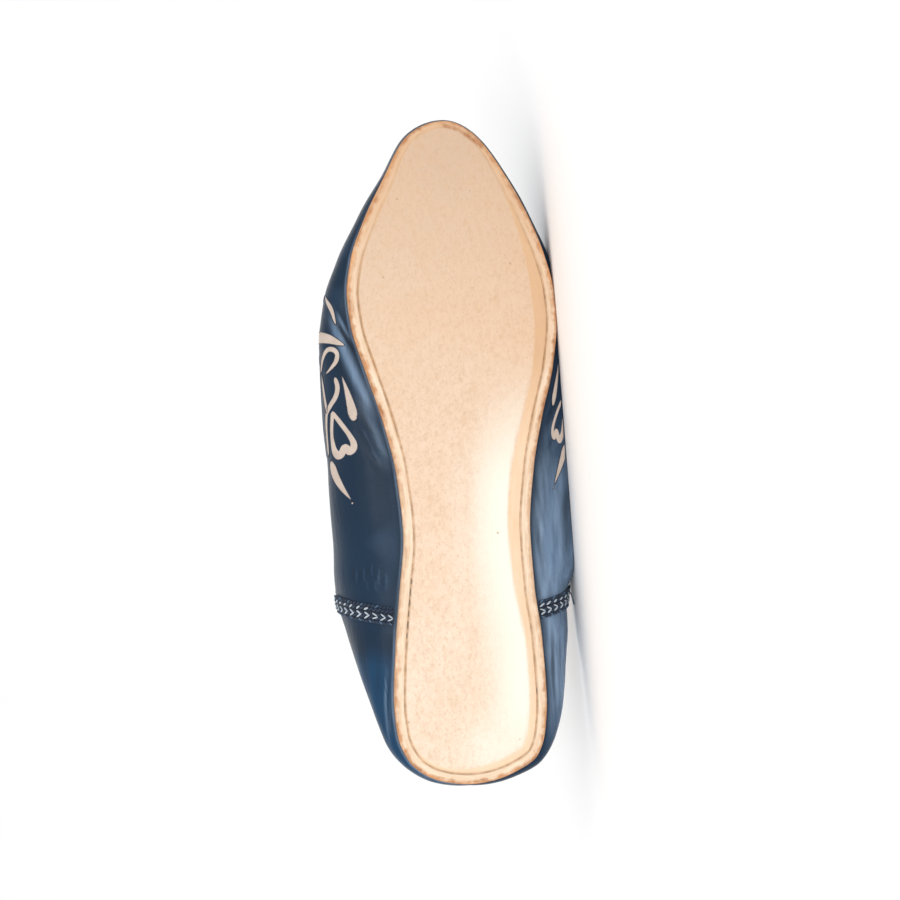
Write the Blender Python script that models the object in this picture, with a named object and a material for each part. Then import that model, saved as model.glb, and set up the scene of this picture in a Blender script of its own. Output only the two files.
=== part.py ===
# A moroccan slipper: a flat, pointed leather slipper with its heel folded down, lying on its outer side.
# Everything is worked out in the slipper's own frame, in millimetres: x runs from heel to toe,
# y to the outer side, which is the side it lies on, and z up from the bottom of the sole.
import math

import bmesh
import bpy
import numpy as np

# Driving sizes in millimetres
LENGTH = 256.0
SEAM_AT = 71.4
THROAT_AT = 128.0
SOLE_THICK = 3.6
INSOLE_THICK = 2.0
WALL = 1.6
GAP = 0.3
FEATHER_INSET = 0.6
TOE_SPRING = 3.5
SPRING_FROM = 195.0
TOE_TUCK = 7.0
TUCK_FROM = 215.0
HEEL_TURN = (25.0, 60.0)
TOE_TURN = (205.0, 240.0)
INSOLE_CLEAR = 0.5
INSOLE_ROUND = 0.6

# The sole's side and rim: how far each ring lies inside the outline, and its height
CHANNEL_INSET = 3.9
CHANNEL_HALF_WIDTH = 0.45
CHANNEL_DEPTH = 0.6
CHANNEL_LIP = 0.1
RIM_RISE = 0.4
EDGE_ROUND = 0.8

# The wall of the upper
FEATHER_SLOPE = 0.08
CORNER_RISE = 0.06
FOLD_RISE_HEEL = 4.5
FOLD_RISE_SEAM = 7.0
FOLD_REACH = 0.35

# Trim
BRAID_WIDTH = 7.0
BRAID_THICK = 1.1
BRAID_LEAN = 6.0
BRAID_FOOT = 0.08
BRAID_EDGE_SHARE = 0.55
CORD_RADIUS = 1.3

# How it lies: the toe dips by this angle, and leather within this depth of the floor eases into the flat
TOE_DIP = math.radians(2.6)
PRESS_EASE = 1.2

# Mesh steps
QUARTER_STEPS = 13
THROAT_STEPS = 9
VAMP_STEPS = 18
WALL_STEPS = 6
TOP_STEPS = 9
BRAID_STEPS = 12
BRAID_ACROSS = 4
CORD_STEPS = 56
CORD_SIDES = 8
SOLE_STEPS = 48

INNER = -1.0
OUTER = 1.0
SIDES = {INNER: "inner", OUTER: "outer"}

# Half widths of the sole on either side of the line from heel to toe
SOLE_COLUMNS = ("along", "inner", "outer")
SOLE_ROWS = (
    (0.0, 0.0, 0.0),
    (3.5, 16.4, 16.4),
    (10.0, 23.8, 25.8),
    (20.0, 27.8, 29.0),
    (32.0, 28.8, 30.0),
    (55.0, 27.2, 29.2),
    (75.0, 24.9, 27.2),
    (97.0, 22.4, 26.5),
    (120.0, 24.0, 29.0),
    (140.0, 28.2, 33.4),
    (160.0, 34.2, 38.6),
    (178.0, 39.2, 40.8),
    (190.0, 40.3, 40.0),
    (203.0, 38.4, 37.0),
    (219.0, 31.8, 31.0),
    (236.0, 22.2, 22.2),
    (250.0, 13.8, 12.4),
    (256.0, 0.0, 0.0),
)

# How far the upper bulges past the sole on each side, and the height of its widest line.
# Behind the side seam that height is where the wall starts to fold inwards.
UPPER_COLUMNS = ("along", "inner_over", "outer_over", "inner_height", "outer_height")
UPPER_ROWS = (
    (0.0, 0.8, 0.8, 9.0, 9.0),
    (6.0, 1.8, 2.8, 9.2, 9.2),
    (14.0, 3.6, 4.6, 9.8, 9.6),
    (29.0, 7.0, 7.6, 11.5, 11.0),
    (44.0, 12.0, 10.2, 16.5, 15.5),
    (60.0, 16.9, 13.2, 23.5, 21.0),
    (71.4, 20.6, 15.2, 28.0, 24.5),
    (85.0, 23.4, 20.0, 26.0, 15.0),
    (106.0, 25.0, 20.0, 23.0, 13.0),
    (137.0, 21.6, 15.8, 20.0, 13.0),
    (160.0, 15.8, 10.4, 17.0, 12.5),
    (175.0, 11.6, 8.4, 15.0, 12.0),
    (190.0, 7.4, 6.2, 13.0, 11.5),
    (206.0, 4.0, 2.6, 11.0, 10.5),
    (221.0, 2.4, 0.9, 9.6, 9.6),
    (240.0, 1.4, 0.6, 8.4, 8.4),
    (256.0, 0.6, 0.6, 7.6, 7.6),
)

# Height of the ridge along the top of the foot.
# Behind the throat it is the line that the open sides lean towards.
CREST_COLUMNS = ("along", "height")
CREST_ROWS = (
    (0.0, 44.0),
    (71.4, 51.0),
    (100.0, 53.5),
    (128.0, 52.0),
    (146.0, 46.5),
    (165.0, 39.0),
    (185.0, 32.0),
    (205.0, 26.0),
    (225.0, 20.8),
    (240.0, 17.2),
    (256.0, 12.0),
)

# Free edge of the folded heel, from its middle to the side seam: share of the way, and the point
FLAP_COLUMNS = ("share", "x", "y", "z")
FLAP_ROWS = (
    (0.0, 52.0, 0.0, 8.8),
    (0.15, 52.3, 7.0, 8.8),
    (0.4, 54.5, 17.5, 9.0),
    (0.65, 58.5, 28.0, 11.5),
    (0.85, 64.5, 36.5, 18.0),
)


def column(columns, rows, name):
    place = columns.index(name)
    return np.array([row[place] for row in rows])


def smooth_through(knots, values, at):
    """Read a curve that passes smoothly through the values and does not overshoot them."""
    at = np.clip(np.asarray(at, dtype=float), knots[0], knots[-1])
    step = np.diff(knots)
    slope = np.diff(values) / step
    tangent = np.zeros(len(knots))
    tangent[0] = slope[0]
    tangent[-1] = slope[-1]
    for k in range(1, len(knots) - 1):
        if slope[k - 1] * slope[k] > 0.0:
            weight_back = 2.0 * step[k] + step[k - 1]
            weight_on = step[k] + 2.0 * step[k - 1]
            tangent[k] = (weight_back + weight_on) / (weight_back / slope[k - 1] + weight_on / slope[k])
    k = np.clip(np.searchsorted(knots, at, side="right") - 1, 0, len(step) - 1)
    t = (at - knots[k]) / step[k]
    rise = values[k + 1] - values[k]
    bend_on = tangent[k] * step[k]
    bend_off = tangent[k + 1] * step[k]
    curl = 3.0 * rise - 2.0 * bend_on - bend_off
    return values[k] + t * (bend_on + t * (curl + t * (bend_on + bend_off - 2.0 * rise)))


def round_ends(along):
    """Turn a distance from the heel into a share that lets outlines close roundly at heel and toe."""
    return np.arccos(np.clip(1.0 - 2.0 * np.asarray(along, dtype=float) / LENGTH, -1.0, 1.0)) / math.pi


def read(columns, rows, name, along):
    knots = round_ends(column(columns, rows, "along"))
    return smooth_through(knots, column(columns, rows, name), round_ends(along))


def ease(low, high, value):
    t = np.clip((value - low) / (high - low), 0.0, 1.0)
    return t * t * (3.0 - 2.0 * t)


def points(x, y, z):
    return np.stack(np.broadcast_arrays(x, y, z), axis=-1).astype(float)


def outline(side, along):
    """Plan points of the sole's outline, and the direction square to it."""
    along = np.asarray(along, dtype=float)
    half = side * read(SOLE_COLUMNS, SOLE_ROWS, SIDES[side], along)
    share = round_ends(along)
    step = 0.002
    before = LENGTH / 2.0 * (1.0 - np.cos(math.pi * np.clip(share - step, 0.0, 1.0)))
    after = LENGTH / 2.0 * (1.0 - np.cos(math.pi * np.clip(share + step, 0.0, 1.0)))
    run = after - before
    widths = [read(SOLE_COLUMNS, SOLE_ROWS, SIDES[side], place) for place in (before, after)]
    square = points(widths[0] - widths[1], run * side, 0.0)
    square[along <= 0.0] = (-1.0, 0.0, 0.0)
    square[along >= LENGTH] = (1.0, 0.0, 0.0)
    square /= np.linalg.norm(square, axis=-1, keepdims=True)
    return points(along, half, 0.0), square


def outward(side, along):
    """Plan direction in which the upper bulges: to the side, and square to the outline at heel and toe."""
    along = np.asarray(along, dtype=float)
    square = outline(side, along)[1]
    ends = 1.0 - ease(*HEEL_TURN, along) + ease(*TOE_TURN, along)
    direction = points(0.0, side, 0.0) * (1.0 - ends[..., None]) + square * ends[..., None]
    return direction / np.linalg.norm(direction, axis=-1, keepdims=True)


def spring(shape):
    """Lift the toe off the ground plane of the sole."""
    lifted = shape.copy()
    reach = np.clip((shape[..., 0] - SPRING_FROM) / (LENGTH - SPRING_FROM), 0.0, None)
    lifted[..., 2] += TOE_SPRING * reach ** 2
    return lifted


FLOOR_WARD = np.array((math.sin(TOE_DIP), math.cos(TOE_DIP), 0.0))
FLOOR_AT = float(np.max(outline(OUTER, np.linspace(0.0, LENGTH, 513))[0] @ FLOOR_WARD))


def press(shape, clear=0.0):
    """Flatten what would pass through the floor, easing into the flat."""
    depth = shape @ FLOOR_WARD - (FLOOR_AT - clear)
    eased = (depth + PRESS_EASE) ** 2 / (4.0 * PRESS_EASE)
    shift = np.where(depth < -PRESS_EASE, 0.0, np.where(depth < PRESS_EASE, eased, depth))
    return shape - shift[..., None] * FLOOR_WARD


def foot_and_bulge(side, along):
    """Where the wall of the upper leaves the sole, and its widest point."""
    edge = outline(side, along)[0]
    direction = outward(side, along)
    over = read(UPPER_COLUMNS, UPPER_ROWS, SIDES[side] + "_over", along)
    height = read(UPPER_COLUMNS, UPPER_ROWS, SIDES[side] + "_height", along)
    foot = edge - outline(side, along)[1] * FEATHER_INSET
    foot[..., 2] = SOLE_THICK + GAP
    bulge = edge + direction * over[..., None]
    bulge[..., 2] = height
    return foot, bulge


def wall_below(side, along, t):
    """The wall from the sole, t of 0, to its widest line, t of 1."""
    foot, bulge = foot_and_bulge(side, along)
    middle = bulge.copy()
    middle[..., 2] = foot[..., 2] + FEATHER_SLOPE * (bulge[..., 2] - foot[..., 2])
    t = np.asarray(t, dtype=float)[..., None]
    return (1.0 - t) ** 2 * foot + 2.0 * t * (1.0 - t) * middle + t ** 2 * bulge


def crest(along):
    """The ridge along the top of the foot, half way between the two sides."""
    tucked = along - TOE_TUCK * ease(TUCK_FROM, LENGTH, along)
    middle = (foot_and_bulge(INNER, tucked)[1][..., 1] + foot_and_bulge(OUTER, tucked)[1][..., 1]) / 2.0
    return points(tucked, middle, read(CREST_COLUMNS, CREST_ROWS, "height", tucked))


def wall_above(side, along, t):
    """The wall from its widest line up to the throat edge or, before the throat, up to the ridge."""
    bulge = foot_and_bulge(side, along)[1]
    top = crest(along)
    reach = CORNER_RISE + (1.0 - CORNER_RISE) * np.clip((along - SEAM_AT) / (THROAT_AT - SEAM_AT), 0.0, 1.0)
    angle = np.arcsin(np.clip(reach, 0.0, 1.0)) * t
    shape = bulge + (top - bulge) * (1.0 - np.cos(angle))[..., None]
    shape[..., 2] = bulge[..., 2] + (top - bulge)[..., 2] * np.sin(angle)
    return shape


def flap_edge(side, share):
    corner = wall_above(side, np.array(SEAM_AT), np.array(1.0))
    knots = np.append(column(FLAP_COLUMNS, FLAP_ROWS, "share"), 1.0)
    sides = [smooth_through(knots, np.append(column(FLAP_COLUMNS, FLAP_ROWS, name), abs(end)), share)
             for name, end in zip("xyz", corner)]
    return points(sides[0], side * sides[1], sides[2])


def heel_fold(side, along, t):
    """The back of the upper from its fold down on to the insole, up to the free edge."""
    bulge = foot_and_bulge(side, along)[1]
    share = round_ends(along) / round_ends(SEAM_AT)
    edge = flap_edge(side, share)
    over = bulge.copy()
    over[..., 2] += FOLD_RISE_HEEL + (FOLD_RISE_SEAM - FOLD_RISE_HEEL) * share
    down = bulge + FOLD_REACH * (edge - bulge)
    down[..., 2] = edge[..., 2]
    t = np.asarray(t, dtype=float)[..., None]
    rest = 1.0 - t
    return rest ** 3 * bulge + 3.0 * t * rest ** 2 * over + 3.0 * t ** 2 * rest * down + t ** 3 * edge


def ribs():
    """Distances from the heel of the ribs of the upper, close together at heel, throat and toe."""
    quarter = SEAM_AT * (1.0 - np.cos(np.linspace(0.0, math.pi / 2.0, QUARTER_STEPS + 1)))
    throat = SEAM_AT + (THROAT_AT - SEAM_AT) * np.sin(np.linspace(0.0, math.pi / 2.0, THROAT_STEPS + 1))
    vamp = THROAT_AT + (LENGTH - THROAT_AT) * np.sin(np.linspace(0.0, math.pi / 2.0, VAMP_STEPS + 1))
    return np.concatenate((quarter[:-1], throat[:-1], vamp))


def rib_grid(side):
    """The outer face of one side of the upper, a row of points for each rib."""
    along = ribs()[:, None]
    low = wall_below(side, along, np.linspace(0.0, 1.0, WALL_STEPS + 1)[None, :] + 0.0 * along)
    rise = np.linspace(0.0, 1.0, TOP_STEPS + 1)[None, 1:]
    spread = along + 0.0 * rise
    rise = rise + 0.0 * along
    folded = heel_fold(side, np.minimum(spread, SEAM_AT), rise)
    arched = wall_above(side, np.maximum(spread, SEAM_AT), rise)
    high = np.where((spread < SEAM_AT - 0.001)[..., None], folded, arched)
    return press(spring(np.concatenate((low, high), axis=1)))


def finish(name, builder, hex_colour, roughness):
    """Turn a filled mesh builder into a named object with its own material."""
    bmesh.ops.recalc_face_normals(builder, faces=builder.faces[:])
    mesh = bpy.data.meshes.new(name)
    builder.to_mesh(mesh)
    builder.free()
    mesh.shade_smooth()
    mesh.set_sharp_from_angle(angle=math.radians(50.0))
    material = bpy.data.materials.new(name)
    material.use_nodes = True
    shader = material.node_tree.nodes["Principled BSDF"]
    shader.inputs["Base Color"].default_value = linear(hex_colour)
    shader.inputs["Roughness"].default_value = roughness
    shader.inputs["Metallic"].default_value = 0.0
    mesh.materials.append(material)
    piece = bpy.data.objects.new(name, mesh)
    bpy.context.collection.objects.link(piece)
    return piece


def linear(hex_colour):
    channels = [int(hex_colour[k:k + 2], 16) / 255.0 for k in (1, 3, 5)]
    return [c / 12.92 if c <= 0.04045 else ((c + 0.055) / 1.055) ** 2.4 for c in channels] + [1.0]


def add_points(builder, shape):
    """Add an array of points in millimetres and return its vertices in the same layout."""
    flat = [builder.verts.new(point) for point in (shape.reshape(-1, 3) * 0.001).tolist()]
    return np.array(flat, dtype=object).reshape(shape.shape[:-1])


def add_skin(builder, grid, closed=False):
    """Fill a grid of vertices with four-sided faces."""
    rows = len(grid)
    for i in range(rows if closed else rows - 1):
        for j in range(grid.shape[1] - 1):
            after = (i + 1) % rows
            builder.faces.new((grid[i, j], grid[after, j], grid[after, j + 1], grid[i, j + 1]))


def make_upper():
    builder = bmesh.new()
    for side in SIDES:
        add_skin(builder, add_points(builder, rib_grid(side)))
    bmesh.ops.remove_doubles(builder, verts=builder.verts[:], dist=0.00001)
    upper = finish("upper", builder, "#1F3F60", 0.35)
    wall = upper.modifiers.new("wall", "SOLIDIFY")
    wall.thickness = WALL * 0.001
    wall.offset = -1.0
    wall.use_even_offset = True
    wall.use_quality_normals = True
    return upper


def sole_ring(inset, height):
    """A closed ring inside the outline, up the outer side to the toe and back down the inner side."""
    along = LENGTH / 2.0 * (1.0 - np.cos(np.linspace(0.0, math.pi, SOLE_STEPS + 1)))
    out_edge, out_square = outline(OUTER, along)
    in_edge, in_square = outline(INNER, along)
    there = out_edge - out_square * inset
    back = (in_edge - in_square * inset)[-2:0:-1]
    ring = np.concatenate((there, back))
    ring[:, 2] = height
    return spring(ring)


def make_slab(name, profile, hex_colour, roughness):
    """A flat cut of leather: rings from its bottom round its edge to its top, with both faces filled."""
    builder = bmesh.new()
    rings = np.stack([sole_ring(inset, height) for inset, height in profile], axis=1)
    grid = add_points(builder, rings)
    add_skin(builder, grid, closed=True)
    count = len(grid)
    for face_ring in (grid[:, 0], grid[:, -1]):
        for k in range(count // 2):
            places = (k, k + 1, (count - k - 1) % count, (count - k) % count)
            builder.faces.new([face_ring[place] for place in dict.fromkeys(places)])
    return finish(name, builder, hex_colour, roughness)


def make_outsole():
    profile = (
        (CHANNEL_INSET + CHANNEL_HALF_WIDTH, 0.0),
        (CHANNEL_INSET, CHANNEL_DEPTH),
        (CHANNEL_INSET - CHANNEL_HALF_WIDTH, CHANNEL_LIP),
        (EDGE_ROUND, RIM_RISE),
        (0.0, RIM_RISE + EDGE_ROUND),
        (0.0, SOLE_THICK - EDGE_ROUND / 2.0),
        (EDGE_ROUND / 2.0, SOLE_THICK),
    )
    return make_slab("outsole", profile, "#E3C4A2", 0.6)


def make_insole():
    inset = FEATHER_INSET + WALL + INSOLE_CLEAR
    low = SOLE_THICK + GAP
    profile = (
        (inset + INSOLE_ROUND / 2.0, low),
        (inset, low + INSOLE_ROUND / 2.0),
        (inset, low + INSOLE_THICK - INSOLE_ROUND),
        (inset + INSOLE_ROUND, low + INSOLE_THICK),
    )
    return make_slab("insole", profile, "#B98E63", 0.6)


def make_side_braid(side):
    """A raised band over a side seam, on the wall of the upper from the sole to the throat's corner."""
    def on_wall(across, t):
        along = SEAM_AT - BRAID_LEAN * (1.0 - t) + across
        return press(wall_below(side, along, t))

    across = np.linspace(-0.5, 0.5, BRAID_ACROSS + 1)[None, :] * BRAID_WIDTH
    t = np.linspace(BRAID_FOOT, 1.0, BRAID_STEPS + 1)[:, None]
    across, t = np.broadcast_arrays(across, t)
    small = 0.01
    run = on_wall(across, np.minimum(t + small, 1.0)) - on_wall(across, t - small)
    cross = on_wall(across + small, t) - on_wall(across - small, t)
    square = np.cross(run, cross) * side
    square /= np.linalg.norm(square, axis=-1, keepdims=True)
    dome = np.sqrt(np.clip(1.0 - (2.0 * across / BRAID_WIDTH) ** 2, 0.0, 1.0))
    crown = BRAID_EDGE_SHARE + (1.0 - BRAID_EDGE_SHARE) * dome
    under = on_wall(across, t) + square * GAP
    over = on_wall(across, t) + square * (GAP + BRAID_THICK * crown[..., None])
    builder = bmesh.new()
    ring = np.concatenate((under, over[:, ::-1]), axis=1)
    grid = add_points(builder, np.swapaxes(ring, 0, 1))
    add_skin(builder, grid, closed=True)
    builder.faces.new(grid[:, 0].tolist())
    builder.faces.new(grid[:, -1].tolist())
    return finish("side_braid_" + SIDES[side], builder, "#24425F", 0.6)


def throat_line(share, t):
    """A line on the upper by the throat edge, from the inner corner, share -1, to the outer one, share 1."""
    along = SEAM_AT + (THROAT_AT - SEAM_AT) * np.cos(np.abs(share) * math.pi / 2.0)
    inner = wall_above(INNER, along, np.full_like(along, t))
    outer = wall_above(OUTER, along, np.full_like(along, t))
    return press(np.where((share < 0.0)[:, None], inner, outer))


def make_collar_cord():
    """A round cord along the throat edge, just clear of the wall."""
    share = np.linspace(-1.0, 1.0, CORD_STEPS + 1)
    path = throat_line(share, 1.0)
    run = np.gradient(path, axis=0)
    run /= np.linalg.norm(run, axis=1, keepdims=True)
    ahead = path - throat_line(share, 0.97)
    ahead /= np.linalg.norm(ahead, axis=1, keepdims=True)
    ahead[:, 0] -= 2.0 * np.cos(share * math.pi / 2.0) ** 8
    away = ahead - np.sum(ahead * run, axis=1, keepdims=True) * run
    away /= np.linalg.norm(away, axis=1, keepdims=True)
    inward = np.cross(away, run)
    centre = press(path + away * (CORD_RADIUS + 2.0 * GAP) + inward * WALL / 2.0, CORD_RADIUS + GAP)
    angle = np.linspace(0.0, 2.0 * math.pi, CORD_SIDES, endpoint=False)
    ring = [centre + CORD_RADIUS * (np.cos(a) * away + np.sin(a) * inward) for a in angle]
    builder = bmesh.new()
    grid = add_points(builder, np.stack(ring))
    add_skin(builder, grid, closed=True)
    builder.faces.new(grid[:, 0].tolist())
    builder.faces.new(grid[:, -1].tolist())
    return finish("collar_cord", builder, "#1B2C40", 0.7)


def lay_down(pieces):
    """Lay the slipper on its outer side, with the middle of its footprint at the origin."""
    slipper = bpy.data.objects.new("slipper", None)
    bpy.context.collection.objects.link(slipper)
    slipper.rotation_euler = (-math.pi / 2.0, TOE_DIP, 0.0)
    for piece in pieces:
        piece.parent = slipper
    bpy.context.view_layer.update()
    corners = [piece.matrix_world @ vertex.co for piece in pieces for vertex in piece.data.vertices]
    low = np.min(corners, axis=0)
    high = np.max(corners, axis=0)
    slipper.location = (-(low[0] + high[0]) / 2.0, -(low[1] + high[1]) / 2.0, -low[2])
    bpy.context.view_layer.update()


def main():
    for thing in list(bpy.data.objects):
        bpy.data.objects.remove(thing, do_unlink=True)
    pieces = [make_outsole(), make_insole(), make_upper(), make_collar_cord()]
    pieces += [make_side_braid(side) for side in SIDES]
    lay_down(pieces)


main()
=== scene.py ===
# The looks of a moroccan slipper in navy goatskin with cream cut-work, lying on its outer side.
# Shapes are worked out in the slipper's own frame, in millimetres: x runs from heel to toe,
# y to the outer side, which is the side it lies on, and z up from the bottom of the sole.
import math
import random

import bpy
import numpy as np
from mathutils import Matrix, Vector, noise


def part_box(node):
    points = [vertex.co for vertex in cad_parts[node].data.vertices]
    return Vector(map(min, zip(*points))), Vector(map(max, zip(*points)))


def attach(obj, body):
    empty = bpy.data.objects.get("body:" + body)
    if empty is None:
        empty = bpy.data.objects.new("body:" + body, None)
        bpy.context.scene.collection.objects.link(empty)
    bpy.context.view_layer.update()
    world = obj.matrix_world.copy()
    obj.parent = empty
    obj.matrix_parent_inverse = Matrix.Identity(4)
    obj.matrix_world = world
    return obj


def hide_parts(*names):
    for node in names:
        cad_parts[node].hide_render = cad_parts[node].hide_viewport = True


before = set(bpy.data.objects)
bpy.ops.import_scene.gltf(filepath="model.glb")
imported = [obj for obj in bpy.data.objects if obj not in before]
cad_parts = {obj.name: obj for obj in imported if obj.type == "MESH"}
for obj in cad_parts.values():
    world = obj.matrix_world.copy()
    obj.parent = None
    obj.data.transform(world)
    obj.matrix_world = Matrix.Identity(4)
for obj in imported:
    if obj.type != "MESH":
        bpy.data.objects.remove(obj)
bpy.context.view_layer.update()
MM = 0.001

# Driving sizes of the slipper
LENGTH = 256.0
SEAM_AT = 71.4
THROAT_AT = 128.0
SOLE_THICK = 3.6
INSOLE_THICK = 2.0
WALL = 1.6
GAP = 0.3
FEATHER_INSET = 0.6
TOE_SPRING = 3.5
SPRING_FROM = 195.0
TOE_TUCK = 7.0
TUCK_FROM = 215.0
HEEL_TURN = (25.0, 60.0)
TOE_TURN = (205.0, 240.0)
INSOLE_CLEAR = 0.5
INSOLE_ROUND = 0.6
INSOLE_CORNER = 0.3
CHANNEL_INSET = 3.9
CHANNEL_HALF_WIDTH = 0.45
CHANNEL_DEPTH = 0.6
CHANNEL_LIP = 0.1
CHANNEL_ARC = ((1.0, 0.0), (0.5, 0.75), (0.0, 1.0), (-0.5, 0.75))
CHANNEL_RINGS = slice(1, 4)
CHANNEL_SHUT = 0.85
CHANNEL_CLOSES = (186.0, 222.0)
TOE_NARROWER = 0.38
NARROWING = (222.0, 250.0)
RIM_SLOPE = ((2.4, 0.06), (1.5, 0.16))
RIM_RISE = 0.4
EDGE_ROUND = 0.8
EDGE_ARC = ((1.0, 0.0), (0.4, 0.3), (0.1, 0.65), (0.0, 1.0))
FEATHER_SLOPE = 0.08
CORNER_RISE = 0.06
FOLD_RISE_HEEL = 4.5
FOLD_RISE_SEAM = 7.0
FOLD_REACH = 0.35
FOLD_RUNS_OUT = (0.86, 1.0)
BRAID_WIDTH = 7.0
BRAID_THICK = 1.1
BRAID_LEAN = 6.0
BRAID_FOOT = 0.06
CORD_RADIUS = 1.3
TOE_DIP = math.radians(2.6)
PRESS_EASE = 1.2
CAD_SOLE_STEPS = 48

# Mesh steps of the looks
QUARTER_STEPS = 60
THROAT_STEPS = 45
VAMP_STEPS = 110
WALL_STEPS = 24
CLOSER_BELOW = 1.6
TOP_STEPS = 48
SOLE_STEPS = 192
SOLE_ACROSS = 48
EDGE_STEPS = 512
SOCK_ACROSS = 16
BRAID_STEPS = 48
BRAID_ACROSS = 12
CORD_STEPS = 420
CORD_SIDES = 24
UP_STEP = 0.5
SMALL_SHARE = 0.002
SMALL_STEP = 0.01

INNER = -1.0
OUTER = 1.0
SIDES = {INNER: "inner", OUTER: "outer"}

# Half widths of the sole on either side of the line from heel to toe
SOLE_COLUMNS = ("along", "inner", "outer")
SOLE_ROWS = (
    (0.0, 0.0, 0.0),
    (3.5, 16.4, 16.4),
    (10.0, 23.8, 26.3),
    (20.0, 27.7, 29.7),
    (32.0, 28.6, 30.7),
    (55.0, 27.0, 29.9),
    (75.0, 24.7, 27.8),
    (97.0, 22.3, 27.0),
    (120.0, 24.0, 29.3),
    (140.0, 28.2, 33.4),
    (160.0, 34.2, 38.6),
    (178.0, 39.2, 40.8),
    (190.0, 40.3, 40.0),
    (203.0, 38.4, 37.0),
    (219.0, 32.3, 31.0),
    (236.0, 23.2, 22.2),
    (250.0, 14.6, 12.4),
    (256.0, 0.0, 0.0),
)

# How far the upper bulges past the sole on each side, and the height of its widest line
UPPER_COLUMNS = ("along", "inner_over", "outer_over", "inner_height", "outer_height")
UPPER_ROWS = (
    (0.0, 0.8, 0.8, 9.0, 9.0),
    (6.0, 1.8, 2.8, 9.2, 9.2),
    (14.0, 3.6, 4.6, 9.8, 9.6),
    (29.0, 7.0, 7.6, 11.5, 11.0),
    (44.0, 12.0, 10.2, 16.5, 15.5),
    (60.0, 16.9, 13.2, 23.5, 21.0),
    (71.4, 20.6, 15.2, 28.0, 24.5),
    (85.0, 23.4, 20.0, 26.0, 15.0),
    (106.0, 25.0, 20.0, 23.0, 13.0),
    (137.0, 21.6, 15.8, 20.0, 13.0),
    (160.0, 15.8, 10.4, 17.0, 12.5),
    (175.0, 11.6, 8.4, 15.0, 12.0),
    (190.0, 7.4, 6.2, 13.0, 11.5),
    (206.0, 3.8, 2.6, 11.0, 10.5),
    (221.0, 1.8, 1.7, 9.6, 9.6),
    (240.0, 0.4, 1.5, 8.4, 8.4),
    (256.0, 0.8, 0.8, 7.6, 7.6),
)

# Height of the ridge along the top of the foot
CREST_COLUMNS = ("along", "height")
CREST_ROWS = (
    (0.0, 44.0),
    (71.4, 51.0),
    (100.0, 53.5),
    (128.0, 52.0),
    (146.0, 46.5),
    (165.0, 39.0),
    (185.0, 32.0),
    (205.0, 26.0),
    (225.0, 20.8),
    (240.0, 17.2),
    (256.0, 12.0),
)

# Free edge of the folded heel, from its middle to the side seam
FLAP_COLUMNS = ("share", "x", "y", "z")
FLAP_ROWS = (
    (0.0, 52.0, 0.0, 8.8),
    (0.15, 52.3, 7.0, 8.8),
    (0.4, 54.5, 17.5, 9.0),
    (0.65, 58.5, 28.0, 11.5),
    (0.85, 64.5, 36.5, 18.0),
)

# Main creases of the leather: from and to, by distance from the heel and up the wall, then width and depth
CREASES = {
    INNER: (
        (182.0, 7.0, 143.0, 3.2, 2.2, -0.40),
        (182.0, 6.0, 166.5, 0.6, 0.9, 0.60),
        (185.0, 8.4, 172.0, 3.4, 0.9, 0.35),
        (149.0, 13.6, 138.0, 8.4, 0.9, 0.30),
        (146.0, 9.0, 133.0, 4.4, 1.0, 0.36),
        (141.0, 12.6, 130.0, 8.0, 0.9, 0.30),
        (137.0, 7.4, 126.0, 3.4, 0.9, 0.30),
        (132.0, 10.6, 122.0, 7.2, 0.9, 0.26),
        (46.0, 3.4, 15.0, 4.2, 0.8, -0.28),
        (52.0, 7.4, 24.0, 6.8, 1.2, 0.14),
        (58.0, 16.0, 36.0, 11.0, 2.2, 0.14),
    ),
    OUTER: (
        (150.0, 6.0, 134.0, 3.2, 1.0, 0.35),
        (140.0, 9.0, 126.0, 5.6, 1.2, 0.35),
        (122.0, 8.6, 80.0, 9.0, 3.0, -0.35),
        (116.0, 15.6, 80.0, 16.0, 2.0, 0.20),
        (100.0, 4.0, 78.0, 4.4, 1.2, 0.35),
        (63.0, 6.0, 22.0, 3.6, 1.2, 0.40),
        (63.0, 10.4, 26.0, 6.4, 1.1, 0.36),
        (64.0, 14.6, 32.0, 9.6, 1.1, 0.36),
        (64.0, 18.6, 40.0, 14.0, 1.1, 0.30),
    ),
}

# Small gathers where the vamp is sewn down at the side seam: how far up the wall each lies, and its length
GATHERS = {
    INNER: ((8.0, 7.0), (11.4, 9.0), (14.2, 12.0), (17.0, 9.0), (20.4, 11.0), (24.6, 8.0), (29.0, 7.0)),
    OUTER: ((7.0, 6.0), (12.6, 8.0), (15.0, 7.0), (20.0, 6.0)),
}
# Lines of painted highlight on the inner wall, paler navy along its ridges and by the sole: from and to, by
# distance from the heel and up the wall, half width, share
PAINTED_HIGHLIGHT_LINES = {
    INNER: (
        (185.0, 7.4, 141.0, 3.0, 2.0, 1.0),
        (157.0, 5.6, 122.0, 3.2, 2.0, 0.4),
        (184.0, 5.0, 172.0, 1.8, 0.5, 0.8),
        (46.0, 3.4, 16.0, 4.2, 0.35, 0.6),
    ),
    OUTER: (),
}
# A painted highlight on the turned-in edge of the inner wall just above the sole: its height up the wall, half
# width and share, and where it fades out towards the toe
TURN_IN_UP = 0.95
TURN_IN_WIDTH = 0.4
TURN_IN_SHARE = 0.7
TURN_IN_AHEAD = (190.0, 235.0)
GATHER_FROM = 76.5
GATHER_WIDTH = 0.8
GATHER_DEPTH = 0.28
GATHER_SLANT = 0.6
LINE_FADE = (-0.1, 0.35)
RIDGE_HIGH = 0.45
RIDGE_OFF = 1.9

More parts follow.
